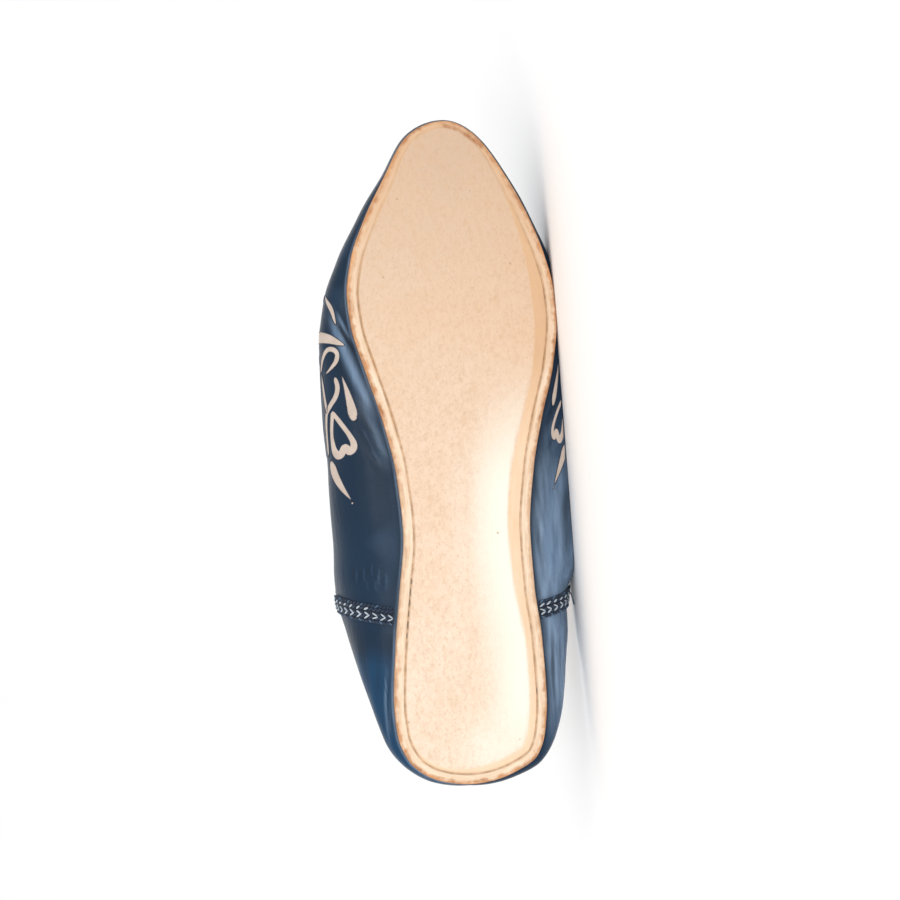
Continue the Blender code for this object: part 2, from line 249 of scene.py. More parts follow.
# The bouquet cut into each side of the vamp. Its stem runs on a line up the wall; a stroke's points give the
# distance from the heel and the distance from that line towards the sole. Each stroke but those on the stem
# has its mirror image on the other side of the line. The outer side's bouquet is narrower and further forward.
STEM_AT = 129.0
STEM_UP = {INNER: 33.0, OUTER: 15.5}
STEM_SLOPE = {INNER: -0.33, OUTER: -0.2}
BOUQUET_SPREAD = {INNER: 1.0, OUTER: 0.45}
BOUQUET_AHEAD = {INNER: 0.0, OUTER: 2.6}
# Each stroke: its name, shape and half width, whether it is mirrored, and its points.
STROKES = (
    ("tip_leaf", "leaf", 0.85, True, ((190.4, 0.9), (185.4, 6.9), (179.0, 10.2))),
    ("wing", "leaf", 2.1, False, ((170.9, 14.0), (173.6, 7.0), (174.4, 0.0), (173.6, -7.0), (170.9, -14.0))),
    ("hook", "taper", 0.9, True,
     ((161.0, 0.6), (166.0, 3.6), (169.3, 6.6), (169.4, 9.4), (167.6, 11.2), (164.8, 10.6), (162.4, 8.4),
      (160.2, 5.4))),
    ("sprig_left", "taper", 0.95, True, ((145.4, 4.6), (148.5, 4.0), (154.5, 2.7), (160.4, 1.5))),
    ("sprig_right", "limb", 1.0, True,
     ((158.8, 10.0), (154.8, 11.0), (151.2, 10.0), (148.2, 7.4), (145.0, 4.5), (141.4, 3.7), (135.2, 3.5),
      (128.6, 3.7))),
    ("drop", "drop", 1.8, True, ((159.0, 13.0), (150.4, 15.6), (141.6, 17.6))),
    ("heart", "ring", 0.88, True,
     ((144.9, 8.3), (143.9, 9.3), (140.9, 12.0), (137.2, 15.0), (133.8, 17.2), (131.4, 17.6), (130.1, 16.1),
      (131.5, 13.9), (129.1, 12.4), (128.9, 10.4), (131.0, 8.5), (135.8, 7.4), (140.2, 7.5), (143.8, 7.9))),
    ("low_leaf", "drop", 2.2, True, ((111.4, 19.2), (116.5, 13.9), (121.5, 9.2), (126.4, 5.6))),
    ("low_dot", "limb", 0.28, True, ((110.3, 19.8), (109.7, 20.3))),
)
RING_FULLER = (129.0, 137.0)
RING_GAIN = 0.8
LEAF_POWER = 0.65
DROP_FULLEST = 0.78
DROP_POWER = 0.85
LIMB_POWER = 6
TAPER_BLUNT = 0.06
TAPER_LAST = 0.3
TAPER_POWER = 0.6
LIP_WIDTH = 0.42
LIP_FOOT = -0.12
LIP_CREST = (0.6, 0.15)
LIP_FACES = 3
LIP_RISE = 0.2
RING_LIP_RISE = 0.03
FACE_RISE = 0.10
FACE_EDGE = 0.4
FACE_FLAT = 0.55
STROKE_STEP = 0.45
STROKE_FEWEST = 8
SPAN_STEPS = 24

# Rows of thread in the side braid, from its front edge to its rear edge: distance forward of the middle,
# pitch, slant, length and width of a stitch, whether it is a chevron, the thread that shows, at every which
# stitch, and from what share of the way up it shows on the inner side
BRAID_ROWS = (
    (3.05, 1.5, 38.0, 2.0, 0.9, False, "blue", 4, 0.1),
    (1.75, 1.6, 30.0, 2.4, 0.85, False, "pale", 2, 0.3),
    (-0.75, 1.6, 27.0, 2.7, 0.75, True, "pale", 2, 0.0),
    (-2.95, 1.5, -38.0, 2.0, 0.85, False, "blue", 3, 0.0),
)
BRAID_SPREAD = 1.15
BRAID_ENDS = (0.8, 0.3)
BRAID_LEVELS = 60
BRAID_BED = 0.85
BRAID_SUNK = -0.1
CHEVRON_HALF = 0.62
STITCH_RISE = 0.35
STITCH_FLAT = 0.75
HAND_LEAN = 7.0
HAND_SIZE = (0.8, 1.08)

# Margin of the sole, where the grain is pared off: width from the edge on each side
MARGIN_COLUMNS = ("along", "inner", "outer")
MARGIN_ROWS = (
    (0.0, 6.4, 6.4),
    (12.0, 5.0, 6.6),
    (24.0, 4.4, 6.7),
    (47.0, 4.2, 6.2),
    (85.0, 4.2, 8.0),
    (116.0, 4.2, 8.6),
    (147.0, 4.4, 7.4),
    (185.0, 4.4, 9.0),
    (216.0, 4.4, 5.8),
    (232.0, 4.4, 4.0),
    (256.0, 4.6, 4.6),
)
# A pale band inside the sole's margin from the waist to the heel, partly leather worn pale and partly a
# painted sheen: its rise past the margin, its width, its ends along the sole and at the heel, and its edge
# across
SHEEN_AND_WEAR_FROM = (0.0, 1.2)
SHEEN_AND_WEAR_WIDE = (1.5, 25.0)
SHEEN_AND_WEAR_ALONG = (108.0, 172.0)
SHEEN_AND_WEAR_HEEL = (-14.0, 34.0)
SHEEN_AND_WEAR_ASIDE = (-8.0, 8.0)
MARGIN_ASIDE = (-10.0, 10.0)
FLEX_FROM = (110.0, 124.0)
FLEX_TO = (148.0, 164.0)
SCUFF = ((254.2, 1.0), (252.0, 6.4), (248.8, 10.8), (245.4, 14.6))
SCUFF_WIDTH = 1.3
STITCH_PITCH = 4.2
STITCH_LONG = 3.0
STITCH_THICK = 0.42
STITCH_DEEP = (0.45, 0.95)
STITCH_EVEN = (0.8, 1.05)
STITCH_AHEAD = 0.5
STITCH_SPANS = {INNER: ((56.0, 83.0),), OUTER: ((32.0, 38.0),)}

# The picture: 900 by 900 pixels, at the scale the slipper has in the photograph
PICTURE_WIDTH = 346.7 * MM
EYE_DISTANCE = 2.3
EYE_LIFT = math.radians(8.0)
EYE_ROLL = math.radians(5.0)
AIM_RIGHT = -3.1 * MM
AIM_UP = 0.8 * MM
SENSOR_WIDTH = 36.0


# Shape of the slipper


def column(columns, rows, name):
    place = columns.index(name)
    return np.array([row[place] for row in rows])


def smooth_through(knots, values, at):
    """Read a curve that passes smoothly through the values and does not overshoot them."""
    at = np.clip(np.asarray(at, dtype=float), knots[0], knots[-1])
    step = np.diff(knots)
    slope = np.diff(values) / step
    tangent = np.zeros(len(knots))
    tangent[0] = slope[0]
    tangent[-1] = slope[-1]
    for k in range(1, len(knots) - 1):
        if slope[k - 1] * slope[k] > 0.0:
            weight_back = 2.0 * step[k] + step[k - 1]
            weight_on = step[k] + 2.0 * step[k - 1]
            tangent[k] = (weight_back + weight_on) / (weight_back / slope[k - 1] + weight_on / slope[k])
    k = np.clip(np.searchsorted(knots, at, side="right") - 1, 0, len(step) - 1)
    t = (at - knots[k]) / step[k]
    rise = values[k + 1] - values[k]
    bend_on = tangent[k] * step[k]
    bend_off = tangent[k + 1] * step[k]
    curl = 3.0 * rise - 2.0 * bend_on - bend_off
    return values[k] + t * (bend_on + t * (curl + t * (bend_on + bend_off - 2.0 * rise)))


def round_ends(along):
    """Turn a distance from the heel into a share that lets outlines close roundly at heel and toe."""
    return np.arccos(np.clip(1.0 - 2.0 * np.asarray(along, dtype=float) / LENGTH, -1.0, 1.0)) / math.pi


def at_share(share):
    """Turn such a share back into a distance from the heel."""
    return LENGTH / 2.0 * (1.0 - np.cos(math.pi * np.clip(share, 0.0, 1.0)))


def read(columns, rows, name, along):
    knots = round_ends(column(columns, rows, "along"))
    return smooth_through(knots, column(columns, rows, name), round_ends(along))


def ease(low, high, value):
    t = np.clip((value - low) / (high - low), 0.0, 1.0)
    return t * t * (3.0 - 2.0 * t)


def points(x, y, z):
    return np.stack(np.broadcast_arrays(x, y, z), axis=-1).astype(float)


def unit(vectors):
    return vectors / np.maximum(np.linalg.norm(vectors, axis=-1, keepdims=True), 1e-9)


def ways(line):
    """Distance of each point of a line from its start, measured along it."""
    return np.concatenate(([0.0], np.cumsum(np.linalg.norm(np.diff(line, axis=0), axis=-1))))


def at_ways(line, way, at):
    """Points of a line at distances along it."""
    return np.stack([np.interp(at, way, part) for part in line.T], axis=-1)


def outline(side, along):
    """Plan points of the sole's outline, and the direction square to it."""
    along = np.asarray(along, dtype=float)
    places = [along] + [at_share(round_ends(along) + step) for step in (-SMALL_SHARE, SMALL_SHARE)]
    half, before, after = [read(SOLE_COLUMNS, SOLE_ROWS, SIDES[side], place) for place in places]
    square = points(before - after, (places[2] - places[1]) * side, 0.0)
    square[along <= 0.0] = (-1.0, 0.0, 0.0)
    square[along >= LENGTH] = (1.0, 0.0, 0.0)
    return points(along, side * half, 0.0), unit(square)


def outward(side, along):
    """Plan direction in which the upper bulges: to the side, and square to the outline at heel and toe."""
    along = np.asarray(along, dtype=float)
    square = outline(side, along)[1]
    ends = 1.0 - ease(*HEEL_TURN, along) + ease(*TOE_TURN, along)
    return unit(points(0.0, side, 0.0) * (1.0 - ends[..., None]) + square * ends[..., None])


def spring(shape):
    """Lift the toe off the ground plane of the sole."""
    lifted = shape.copy()
    reach = np.clip((shape[..., 0] - SPRING_FROM) / (LENGTH - SPRING_FROM), 0.0, None)
    lifted[..., 2] += TOE_SPRING * reach ** 2
    return lifted


FLOOR_WARD = np.array((math.sin(TOE_DIP), math.cos(TOE_DIP), 0.0))
FLOOR_AT = float(np.max(outline(OUTER, np.linspace(0.0, LENGTH, 513))[0] @ FLOOR_WARD))


def press(shape, clear=0.0):
    """Flatten what would pass through the floor, easing into the flat."""
    depth = shape @ FLOOR_WARD - (FLOOR_AT - clear)
    eased = (depth + PRESS_EASE) ** 2 / (4.0 * PRESS_EASE)
    shift = np.where(depth < -PRESS_EASE, 0.0, np.where(depth < PRESS_EASE, eased, depth))
    return shape - shift[..., None] * FLOOR_WARD


def foot_and_bulge(side, along):
    """Where the wall of the upper leaves the sole, and its widest point."""
    edge, square = outline(side, along)
    over, height = [read(UPPER_COLUMNS, UPPER_ROWS, SIDES[side] + part, along)
                    for part in ("_over", "_height")]
    foot = edge - square * FEATHER_INSET
    foot[..., 2] = SOLE_THICK + GAP
    bulge = edge + outward(side, along) * over[..., None]
    bulge[..., 2] = height
    return foot, bulge


def wall_below(side, along, t):
    """The wall from the sole, t of 0, to its widest line, t of 1."""
    foot, bulge = foot_and_bulge(side, along)
    middle = bulge.copy()
    middle[..., 2] = foot[..., 2] + FEATHER_SLOPE * (bulge[..., 2] - foot[..., 2])
    t = np.asarray(t, dtype=float)[..., None]
    return (1.0 - t) ** 2 * foot + 2.0 * t * (1.0 - t) * middle + t ** 2 * bulge


def crest(along):
    """The ridge along the top of the foot, half way between the two sides."""
    tucked = along - TOE_TUCK * ease(TUCK_FROM, LENGTH, along)
    middle = (foot_and_bulge(INNER, tucked)[1][..., 1] + foot_and_bulge(OUTER, tucked)[1][..., 1]) / 2.0
    return points(tucked, middle, read(CREST_COLUMNS, CREST_ROWS, "height", tucked))


def wall_above(side, along, t):
    """The wall from its widest line up to the throat edge or, before the throat, up to the ridge."""
    bulge = foot_and_bulge(side, along)[1]
    top = crest(along)
    reach = CORNER_RISE + (1.0 - CORNER_RISE) * np.clip((along - SEAM_AT) / (THROAT_AT - SEAM_AT), 0.0, 1.0)
    angle = np.arcsin(np.clip(reach, 0.0, 1.0)) * t
    shape = bulge + (top - bulge) * (1.0 - np.cos(angle))[..., None]
    shape[..., 2] = bulge[..., 2] + (top - bulge)[..., 2] * np.sin(angle)
    return shape


def flap_edge(side, share):
    corner = wall_above(side, np.array(SEAM_AT), np.array(1.0))
    knots = np.append(column(FLAP_COLUMNS, FLAP_ROWS, "share"), 1.0)
    sides = [smooth_through(knots, np.append(column(FLAP_COLUMNS, FLAP_ROWS, name), abs(end)), share)
             for name, end in zip("xyz", corner)]
    return points(sides[0], side * sides[1], sides[2])


def heel_fold(side, along, t):
    """The back of the upper from its fold down on to the insole, up to the free edge."""
    bulge = foot_and_bulge(side, along)[1]
    share = round_ends(along) / round_ends(SEAM_AT)
    edge = flap_edge(side, share)
    over = bulge.copy()
    rise = FOLD_RISE_HEEL + (FOLD_RISE_SEAM - FOLD_RISE_HEEL) * share
    over[..., 2] += rise * (1.0 - ease(*FOLD_RUNS_OUT, share))
    down = bulge + FOLD_REACH * (edge - bulge)
    down[..., 2] = edge[..., 2]
    t = np.asarray(t, dtype=float)[..., None]
    rest = 1.0 - t
    return rest ** 3 * bulge + 3.0 * t * rest ** 2 * over + 3.0 * t ** 2 * rest * down + t ** 3 * edge


def quarter_turn(steps):
    return np.linspace(0.0, math.pi / 2.0, steps + 1)


RIBS = np.concatenate((
    SEAM_AT * (1.0 - np.cos(quarter_turn(QUARTER_STEPS)))[:-1],
    (SEAM_AT + (THROAT_AT - SEAM_AT) * np.sin(quarter_turn(THROAT_STEPS)))[:-1],
    THROAT_AT + (LENGTH - THROAT_AT) * np.sin(quarter_turn(VAMP_STEPS)),
))


def plain_side(side):
    """The outer face of one side of the upper before it creases, a row of points for each rib."""
    steps = np.linspace(0.0, 1.0, WALL_STEPS + 1) ** CLOSER_BELOW
    along, low_t = np.broadcast_arrays(RIBS[:, None], steps[None, :])
    low = wall_below(side, along, low_t)
    spread, rise = np.broadcast_arrays(RIBS[:, None], np.linspace(0.0, 1.0, TOP_STEPS + 1)[None, 1:])
    folded = heel_fold(side, np.minimum(spread, SEAM_AT), rise)
    arched = wall_above(side, np.maximum(spread, SEAM_AT), rise)
    high = np.where((spread < SEAM_AT - 0.001)[..., None], folded, arched)
    return spring(np.concatenate((low, high), axis=1))


def up_the_wall(grid):
    """Distance of each point of a side from the sole, measured up the wall."""
    steps = np.linalg.norm(np.diff(grid, axis=1), axis=-1)
    return np.concatenate((np.zeros((len(grid), 1)), np.cumsum(steps, axis=1)), axis=1)


def face_normals(grid, side):
    return unit(np.cross(np.gradient(grid, axis=1), np.gradient(grid, axis=0)) * side)


def beside(along, up, line):
    """How far points of the wall lie beside a line on it, and a share that fades at the line's ends."""
    along_from, up_from, along_to, up_to = line
    run = np.array((along_to - along_from, up_to - up_from))
    far = np.hypot(*run)
    run = run / far
    ahead = (along - along_from) * run[0] + (up - up_from) * run[1]
    aside = np.abs((up - up_from) * run[0] - (along - along_from) * run[1])
    low, high = [share * far for share in LINE_FADE]
    return aside, ease(low, high, ahead) * ease(low, high, far - ahead)


def trough(along, up, crease):
    """Height of the leather about one crease: a soft trough with a low ridge on either side."""
    aside, fade = beside(along, up, crease[:4])
    width, depth = crease[4:]
    ridge = RIDGE_HIGH * np.exp(-((aside - RIDGE_OFF * width) / width) ** 2)
    return depth * fade * (ridge - np.exp(-(aside / width) ** 2))


def creases_of(side):
    gathered = [(GATHER_FROM, up, GATHER_FROM + long, up - GATHER_SLANT, GATHER_WIDTH, GATHER_DEPTH)
                for up, long in GATHERS[side]]
    return CREASES[side] + tuple(gathered)


SLACK_LONG = 34.0
SLACK_SHORT = 11.0
SLACK_DEEP = 0.30
SLACK_FINE = 0.12
SEWN = (3.5, 6.5)
HELD_SOLE = 2.5
HELD_HEEL = 8.0
HELD_TOE = 12.0
HELD_TOP = 6.0
# Painted reflection of the pale floor, paler navy low on the outer wall: where it starts up the wall, where
# and how much it drops, where it ends, and where it fades towards the toe and the heel
PAINTED_REFLECTION_FROM = (0.4, 4.2)
PAINTED_REFLECTION_LESS = (12.0, 19.0)
PAINTED_REFLECTION_DROP = 0.35
PAINTED_REFLECTION_TO = (24.0, 48.0)
PAINTED_REFLECTION_AHEAD = (90.0, 148.0)
PAINTED_REFLECTION_HEEL = (11.0, 37.0)
QUARTER_SKIN = (44.0, 56.0)
QUARTER_ASIDE = (4.0, 18.0)
QUARTER_OVER = 8.0
SKIVED_LEAST = 0.05
SKIVED_WIDE = (4.0, 14.0)
FOLD_ROOM = 0.36


def creased_side(side):
    """The outer face of one side with its creases, and how far each point was moved."""
    grid = plain_side(side)
    up = up_the_wall(grid)
    along = np.broadcast_to(RIBS[:, None], up.shape)
    moved = np.zeros(up.shape)
    for crease in creases_of(side):
        moved += trough(along, up, crease)
    for size, depth in ((SLACK_LONG, SLACK_DEEP), (SLACK_SHORT, SLACK_FINE)):
        swell = [noise.noise(Vector(point)) for point in (grid.reshape(-1, 3) / size).tolist()]
        moved += depth * np.reshape(swell, up.shape)
    held = ease(0.0, HELD_SOLE, up) * ease(0.0, HELD_HEEL, along) * ease(0.0, HELD_TOE, LENGTH - along)
    held *= ease(0.0, HELD_TOP, up[:, -1:] - up)
    seam = SEAM_AT - BRAID_LEAN * (1.0 - np.clip(up / up[:, WALL_STEPS:WALL_STEPS + 1], 0.0, 1.0))
    held *= ease(*SEWN, np.abs(along - seam))
    moved *= held
    return press(grid + face_normals(grid, side) * moved[..., None]), moved


SKIN = {}
UP_MOST = 110.0


def remember_skin(side, grid):
    """Keep each rib's points and outward directions at even distances up the wall, to set trim on."""
    both = np.concatenate((grid, face_normals(grid, side)), axis=-1)
    at = np.arange(0.0, UP_MOST, UP_STEP)
    SKIN[side] = np.stack([at_ways(rib, up, at) for rib, up in zip(both, up_the_wall(grid))])


def on_skin(side, along, up, lift):
    """Points on the upper: distance from the heel, distance up the wall, and height above the leather."""
    along, up, lift = np.broadcast_arrays(along, up, lift)
    table = SKIN[side]
    rib = np.clip(np.searchsorted(RIBS, along, side="right") - 1, 0, len(RIBS) - 2)
    part = ((along - RIBS[rib]) / (RIBS[rib + 1] - RIBS[rib]))[..., None]
    step = np.clip(up / UP_STEP, 0.0, table.shape[1] - 1.001)
    row = step.astype(int)
    rest = (step - row)[..., None]
    near = table[rib, row] * (1.0 - rest) + table[rib, row + 1] * rest
    far = table[rib + 1, row] * (1.0 - rest) + table[rib + 1, row + 1] * rest
    both = near * (1.0 - part) + far * part
    return both[..., :3] + unit(both[..., 3:]) * lift[..., None]


def toe_narrowing(along):
    """Share of its width that the sole's margin keeps: it is pared narrower at the toe."""
    return 1.0 - TOE_NARROWER * ease(*NARROWING, along)


def sole_ring(inset, height, steps, narrows=False):
    """A closed ring inside the outline, up the outer side to the toe and back down the inner side."""
    along = at_share(np.linspace(0.0, 1.0, steps + 1))
    inset = inset * toe_narrowing(along)[:, None] if narrows else inset
    edges = [outline(side, along) for side in (OUTER, INNER)]
    outer, inner = [edge - square * inset for edge, square in edges]
    ring = np.concatenate((outer, inner[-2::-1]))
    ring[:, 2] = height
    return spring(ring)


def turned(shape):
    """From the slipper's own frame to the model's, as it lies on its side with its toe dipped."""
    x, y, z = np.moveaxis(shape, -1, 0)
    across = x * math.cos(TOE_DIP) - y * math.sin(TOE_DIP)
    upright = -x * math.sin(TOE_DIP) - y * math.cos(TOE_DIP)
    return np.stack((across, z, upright), axis=-1)


SET_AT = np.array(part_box("outsole")[0]) / MM - turned(sole_ring(0.0, 0.0, CAD_SOLE_STEPS)).min(axis=0)


def placed(shape):
    """Points of the slipper's own frame, in millimetres, as points of the model in metres."""
    return (turned(shape) + SET_AT) * MM


# Making meshes


def pick(*pieces):
    """Select these pieces alone, with the first of them active."""
    bpy.ops.object.select_all(action="DESELECT")
    for piece in reversed(pieces):
        piece.select_set(True)
        bpy.context.view_layer.objects.active = piece


def edit(piece, *steps):
    """Run edit-mode operators on everything in one piece."""
    pick(piece)
    bpy.ops.object.mode_set(mode="EDIT")
    bpy.ops.mesh.select_all(action="SELECT")
    for operator, settings in steps:
        operator(**settings)
    bpy.ops.object.mode_set(mode="OBJECT")


MERGE = (bpy.ops.mesh.remove_doubles, {"threshold": 0.000004})
FACE_OUT = (bpy.ops.mesh.normals_make_consistent, {"inside": False})
CAP_ENDS = (bpy.ops.mesh.fill_holes, {"sides": 0})


def lay_grid(name, shape):
    """Add a flat grid and move its points on to a worked-out shape of rows and columns."""
    rows, columns = shape.shape[:2]
    pick()
    bpy.ops.mesh.primitive_grid_add(x_subdivisions=columns - 1, y_subdivisions=rows - 1, size=1.0)
    piece = bpy.context.object
    piece.name = piece.data.name = name
    piece.data.vertices.foreach_set("co", placed(shape).reshape(-1))
    piece.data.update()
    return piece


def lay_tube(name, centre, away, square, reach):
    """A closed tube along a line: two directions square to it, and how far its skin is at each turn."""
    turn = np.linspace(0.0, 2.0 * math.pi, reach.shape[1])[None, :, None]
    ring = np.cos(turn) * away[:, None] + np.sin(turn) * square[:, None]
    tube = lay_grid(name, centre[:, None] + reach[..., None] * ring)
    edit(tube, MERGE, CAP_ENDS, FACE_OUT)
    return tube


def join(name, pieces):
    pick(*pieces)
    bpy.ops.object.join()
    whole = bpy.context.object
    whole.name = whole.data.name = name
    return whole


def smooth(piece, degrees):
    pick(piece)
    bpy.ops.object.shade_smooth_by_angle(angle=math.radians(degrees))


def hand_over(piece, degrees, slot, *nodes):
    """Smooth a finished piece, let it move with the slipper, and hide the solids it replaces. The slot is not
    used.
    """
    smooth(piece, degrees)
    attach(piece, "root")
    if nodes:
        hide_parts(*nodes)


def keep_values(piece, **values):
    """Store numbers for each point of a piece, for its material to read."""
    for name, numbers in values.items():
        attribute = piece.data.attributes.new(name, "FLOAT", "POINT")
        attribute.data.foreach_set("value", np.asarray(numbers, dtype=np.float32).reshape(-1))


# Materials


def linear(hex_colour):
    channels = [int(hex_colour[k:k + 2], 16) / 255.0 for k in (1, 3, 5)]
    return [c / 12.92 if c <= 0.04045 else ((c + 0.055) / 1.055) ** 2.4 for c in channels] + [1.0]


def wire(tree, node, links):
    """Join a node's sockets to other nodes' outputs."""
    for name, (source, output) in links.items():
        tree.links.new(source.outputs[output], node.inputs[name])


def add_node(tree, kind, values=None, links=None, **settings):
    """Add a node, set its properties and sockets, and join its sockets to other nodes' outputs."""
    node = tree.nodes.new(kind)
    for name, setting in settings.items():
        setattr(node, name, setting)
    for name, value in (values or {}).items():
        node.inputs[name].default_value = value
    wire(tree, node, links or {})
    return node


def new_material(name, **values):
    """A material with its constant values set on the shader, its tree, its shader and its coordinates."""
    material = bpy.data.materials.new(name)
    material.use_nodes = True
    tree = material.node_tree
    shader = tree.nodes["Principled BSDF"]
    for socket, value in values.items():
        shader.inputs[socket.replace("_", " ")].default_value = value
    place = tree.nodes.new("ShaderNodeTexCoord")
    return material, tree, shader, place


def per_mm(size):
    """Scale of a pattern on Object coordinates whose cells are this many millimetres across."""
    return 1.0 / (size * MM)


def navy_goatskin():
    """Goatskin dyed navy and glazed by rubbing: fine pebbled grain and soft gloss, painted paler with sheen
    and highlights, and with painted shade in its crease troughs.
    """
    material, tree, shader, place = new_material(
        "navy_goatskin", IOR=1.5, Metallic=0.0, Specular_IOR_Level=0.14, Coat_Weight=0.12,
        Coat_Roughness=0.22)
    spot = {"Vector": (place, "Object")}
    quarter, rubbed, crease = [add_node(tree, "ShaderNodeAttribute", attribute_name=name)
                               for name in ("quarter", "rubbed", "moved")]
    cloud = add_node(tree, "ShaderNodeTexNoise", {"Scale": per_mm(55.0), "Detail": 4.0}, spot)
    lengthwise = add_node(tree, "ShaderNodeMapping", {"Scale": (0.16, 1.0, 1.0)}, spot)
    fine = add_node(tree, "ShaderNodeTexNoise", {"Scale": per_mm(2.4), "Detail": 4.0},
                    {"Vector": (lengthwise, "Vector")})
    # ridge paints raised crease ridges paler, a painted highlight; the share after it paints crease troughs
    # darker, a painted shade
    streak, ridge, painted_crease_shade, gloss = [
        add_node(tree, "ShaderNodeMapRange",
                 {"From Min": low, "From Max": high, "To Min": least, "To Max": most},
                 {"Value": (source, "Fac")})
        for source, low, high, least, most in (
            (fine, 0.35, 0.7, 0.5, 1.0),
            (crease, 0.08, 0.34, 0.0, 0.35),
            (crease, -0.08, -0.45, 0.0, 0.7),
            (fine, 0.0, 1.0, 0.28, 0.44))]
    # The painted sheen, broken into lengthwise streaks: painted highlights on the inner wall and a painted
    # reflection of the floor on the outer
    fade = add_node(tree, "ShaderNodeMath", None, {0: (rubbed, "Fac"), 1: (streak, "Result")},
                    operation="MULTIPLY")
    skin = add_node(tree, "ShaderNodeMix", {"A": linear("#0E2234"), "B": linear("#16314A")},
                    {"Factor": (cloud, "Fac")}, data_type="RGBA")
    # Colours laid over the dyed skin: the bluer quarter, the painted sheen, the painted highlight on ridges
    # and the painted shade in crease troughs
    for share, tone in (((quarter, "Fac"), "#143C5B"), ((fade, "Value"), "#8098B3"),
                        ((ridge, "Result"), "#5A7593"), ((painted_crease_shade, "Result"), "#091625")):
        skin = add_node(tree, "ShaderNodeMix", {"B": linear(tone)}, {"Factor": share, "A": (skin, "Result")},
                        data_type="RGBA")
    pebble = add_node(tree, "ShaderNodeTexVoronoi", {"Scale": per_mm(0.95)}, spot, feature="SMOOTH_F1")
    pore = add_node(tree, "ShaderNodeTexNoise", {"Scale": per_mm(0.5), "Detail": 3.0}, spot)
    grain = add_node(tree, "ShaderNodeMath", {1: 0.6}, {0: (pebble, "Distance"), 2: (pore, "Fac")},
                     operation="MULTIPLY_ADD")
    height = add_node(tree, "ShaderNodeMath", {1: 2.0}, {0: (fine, "Fac"), 2: (grain, "Value")},
                      operation="MULTIPLY_ADD")
    bump = add_node(tree, "ShaderNodeBump", {"Strength": 0.35, "Distance": 0.25 * MM},
                    {"Height": (height, "Value")})
    wire(tree, shader, {"Base Color": (skin, "Result"), "Normal": (bump, "Normal"),
                        "Roughness": (gloss, "Result")})
    return material


def cream_leather():
    """Thin undyed sheepskin showing through the cuts: matt and chalky, with faint soiling."""
    material, tree, shader, place = new_material("cream_sheepskin", IOR=1.46, Roughness=0.62)
    cloud, grain = [add_node(tree, "ShaderNodeTexNoise", {"Scale": per_mm(size), "Detail": detail},
                             {"Vector": (place, "Object")}) for size, detail in ((3.5, 5.0), (0.5, 2.0))]
    colour = add_node(tree, "ShaderNodeMix", {"A": linear("#B4A192"), "B": linear("#D3C4B8")},
                      {"Factor": (cloud, "Fac")}, data_type="RGBA")
    bump = add_node(tree, "ShaderNodeBump", {"Strength": 0.25, "Distance": 0.1 * MM},
                    {"Height": (grain, "Fac")})
    wire(tree, shader, {"Base Color": (colour, "Result"), "Normal": (bump, "Normal")})
    return material


def cut_edge():
    """The navy skin's knife-cut lips round the ornament: darker, burnished where the blade turned them."""
    material, tree, shader, place = new_material("cut_goatskin_edge", IOR=1.5)
    cloud = add_node(tree, "ShaderNodeTexNoise", {"Scale": per_mm(2.0), "Detail": 3.0},
                     {"Vector": (place, "Object")})
    colour = add_node(tree, "ShaderNodeMix", {"A": linear("#091828"), "B": linear("#1B3653")},
                      {"Factor": (cloud, "Fac")}, data_type="RGBA")
    gloss = add_node(tree, "ShaderNodeMapRange", {"To Min": 0.28, "To Max": 0.5}, {"Value": (cloud, "Fac")})
    wire(tree, shader, {"Base Color": (colour, "Result"), "Roughness": (gloss, "Result")})
    return material


def tan_leather(name, low, high, grain_size):
    """Vegetable-tanned sheepskin, left natural: soft matt tan with cloudy patches and small pores."""
    material, tree, shader, place = new_material(name, IOR=1.46)
    spot = {"Vector": (place, "Object")}
    cloud = add_node(tree, "ShaderNodeTexNoise", {"Scale": per_mm(14.0), "Detail": 6.0}, spot)
    colour = add_node(tree, "ShaderNodeMix", {"A": linear(low), "B": linear(high)},
                      {"Factor": (cloud, "Fac")}, data_type="RGBA")
    pores = add_node(tree, "ShaderNodeTexVoronoi", {"Scale": per_mm(grain_size)}, spot)
    bump = add_node(tree, "ShaderNodeBump", {"Strength": 0.3, "Distance": 0.15 * MM},
                    {"Height": (pores, "Distance")})
    rough = add_node(tree, "ShaderNodeMapRange", {"To Min": 0.55, "To Max": 0.75}, {"Value": (cloud, "Fac")})
    wire(tree, shader, {"Base Color": (colour, "Result"), "Normal": (bump, "Normal"),
                        "Roughness": (rough, "Result")})
    return material


FLEX_SLANT = math.radians(60.0)
HIDE_TONES = ((0.0, "#F1DDC8"), (0.35, "#EED6BF"), (0.68, "#E0C4AA"), (0.95, "#CFB298"))


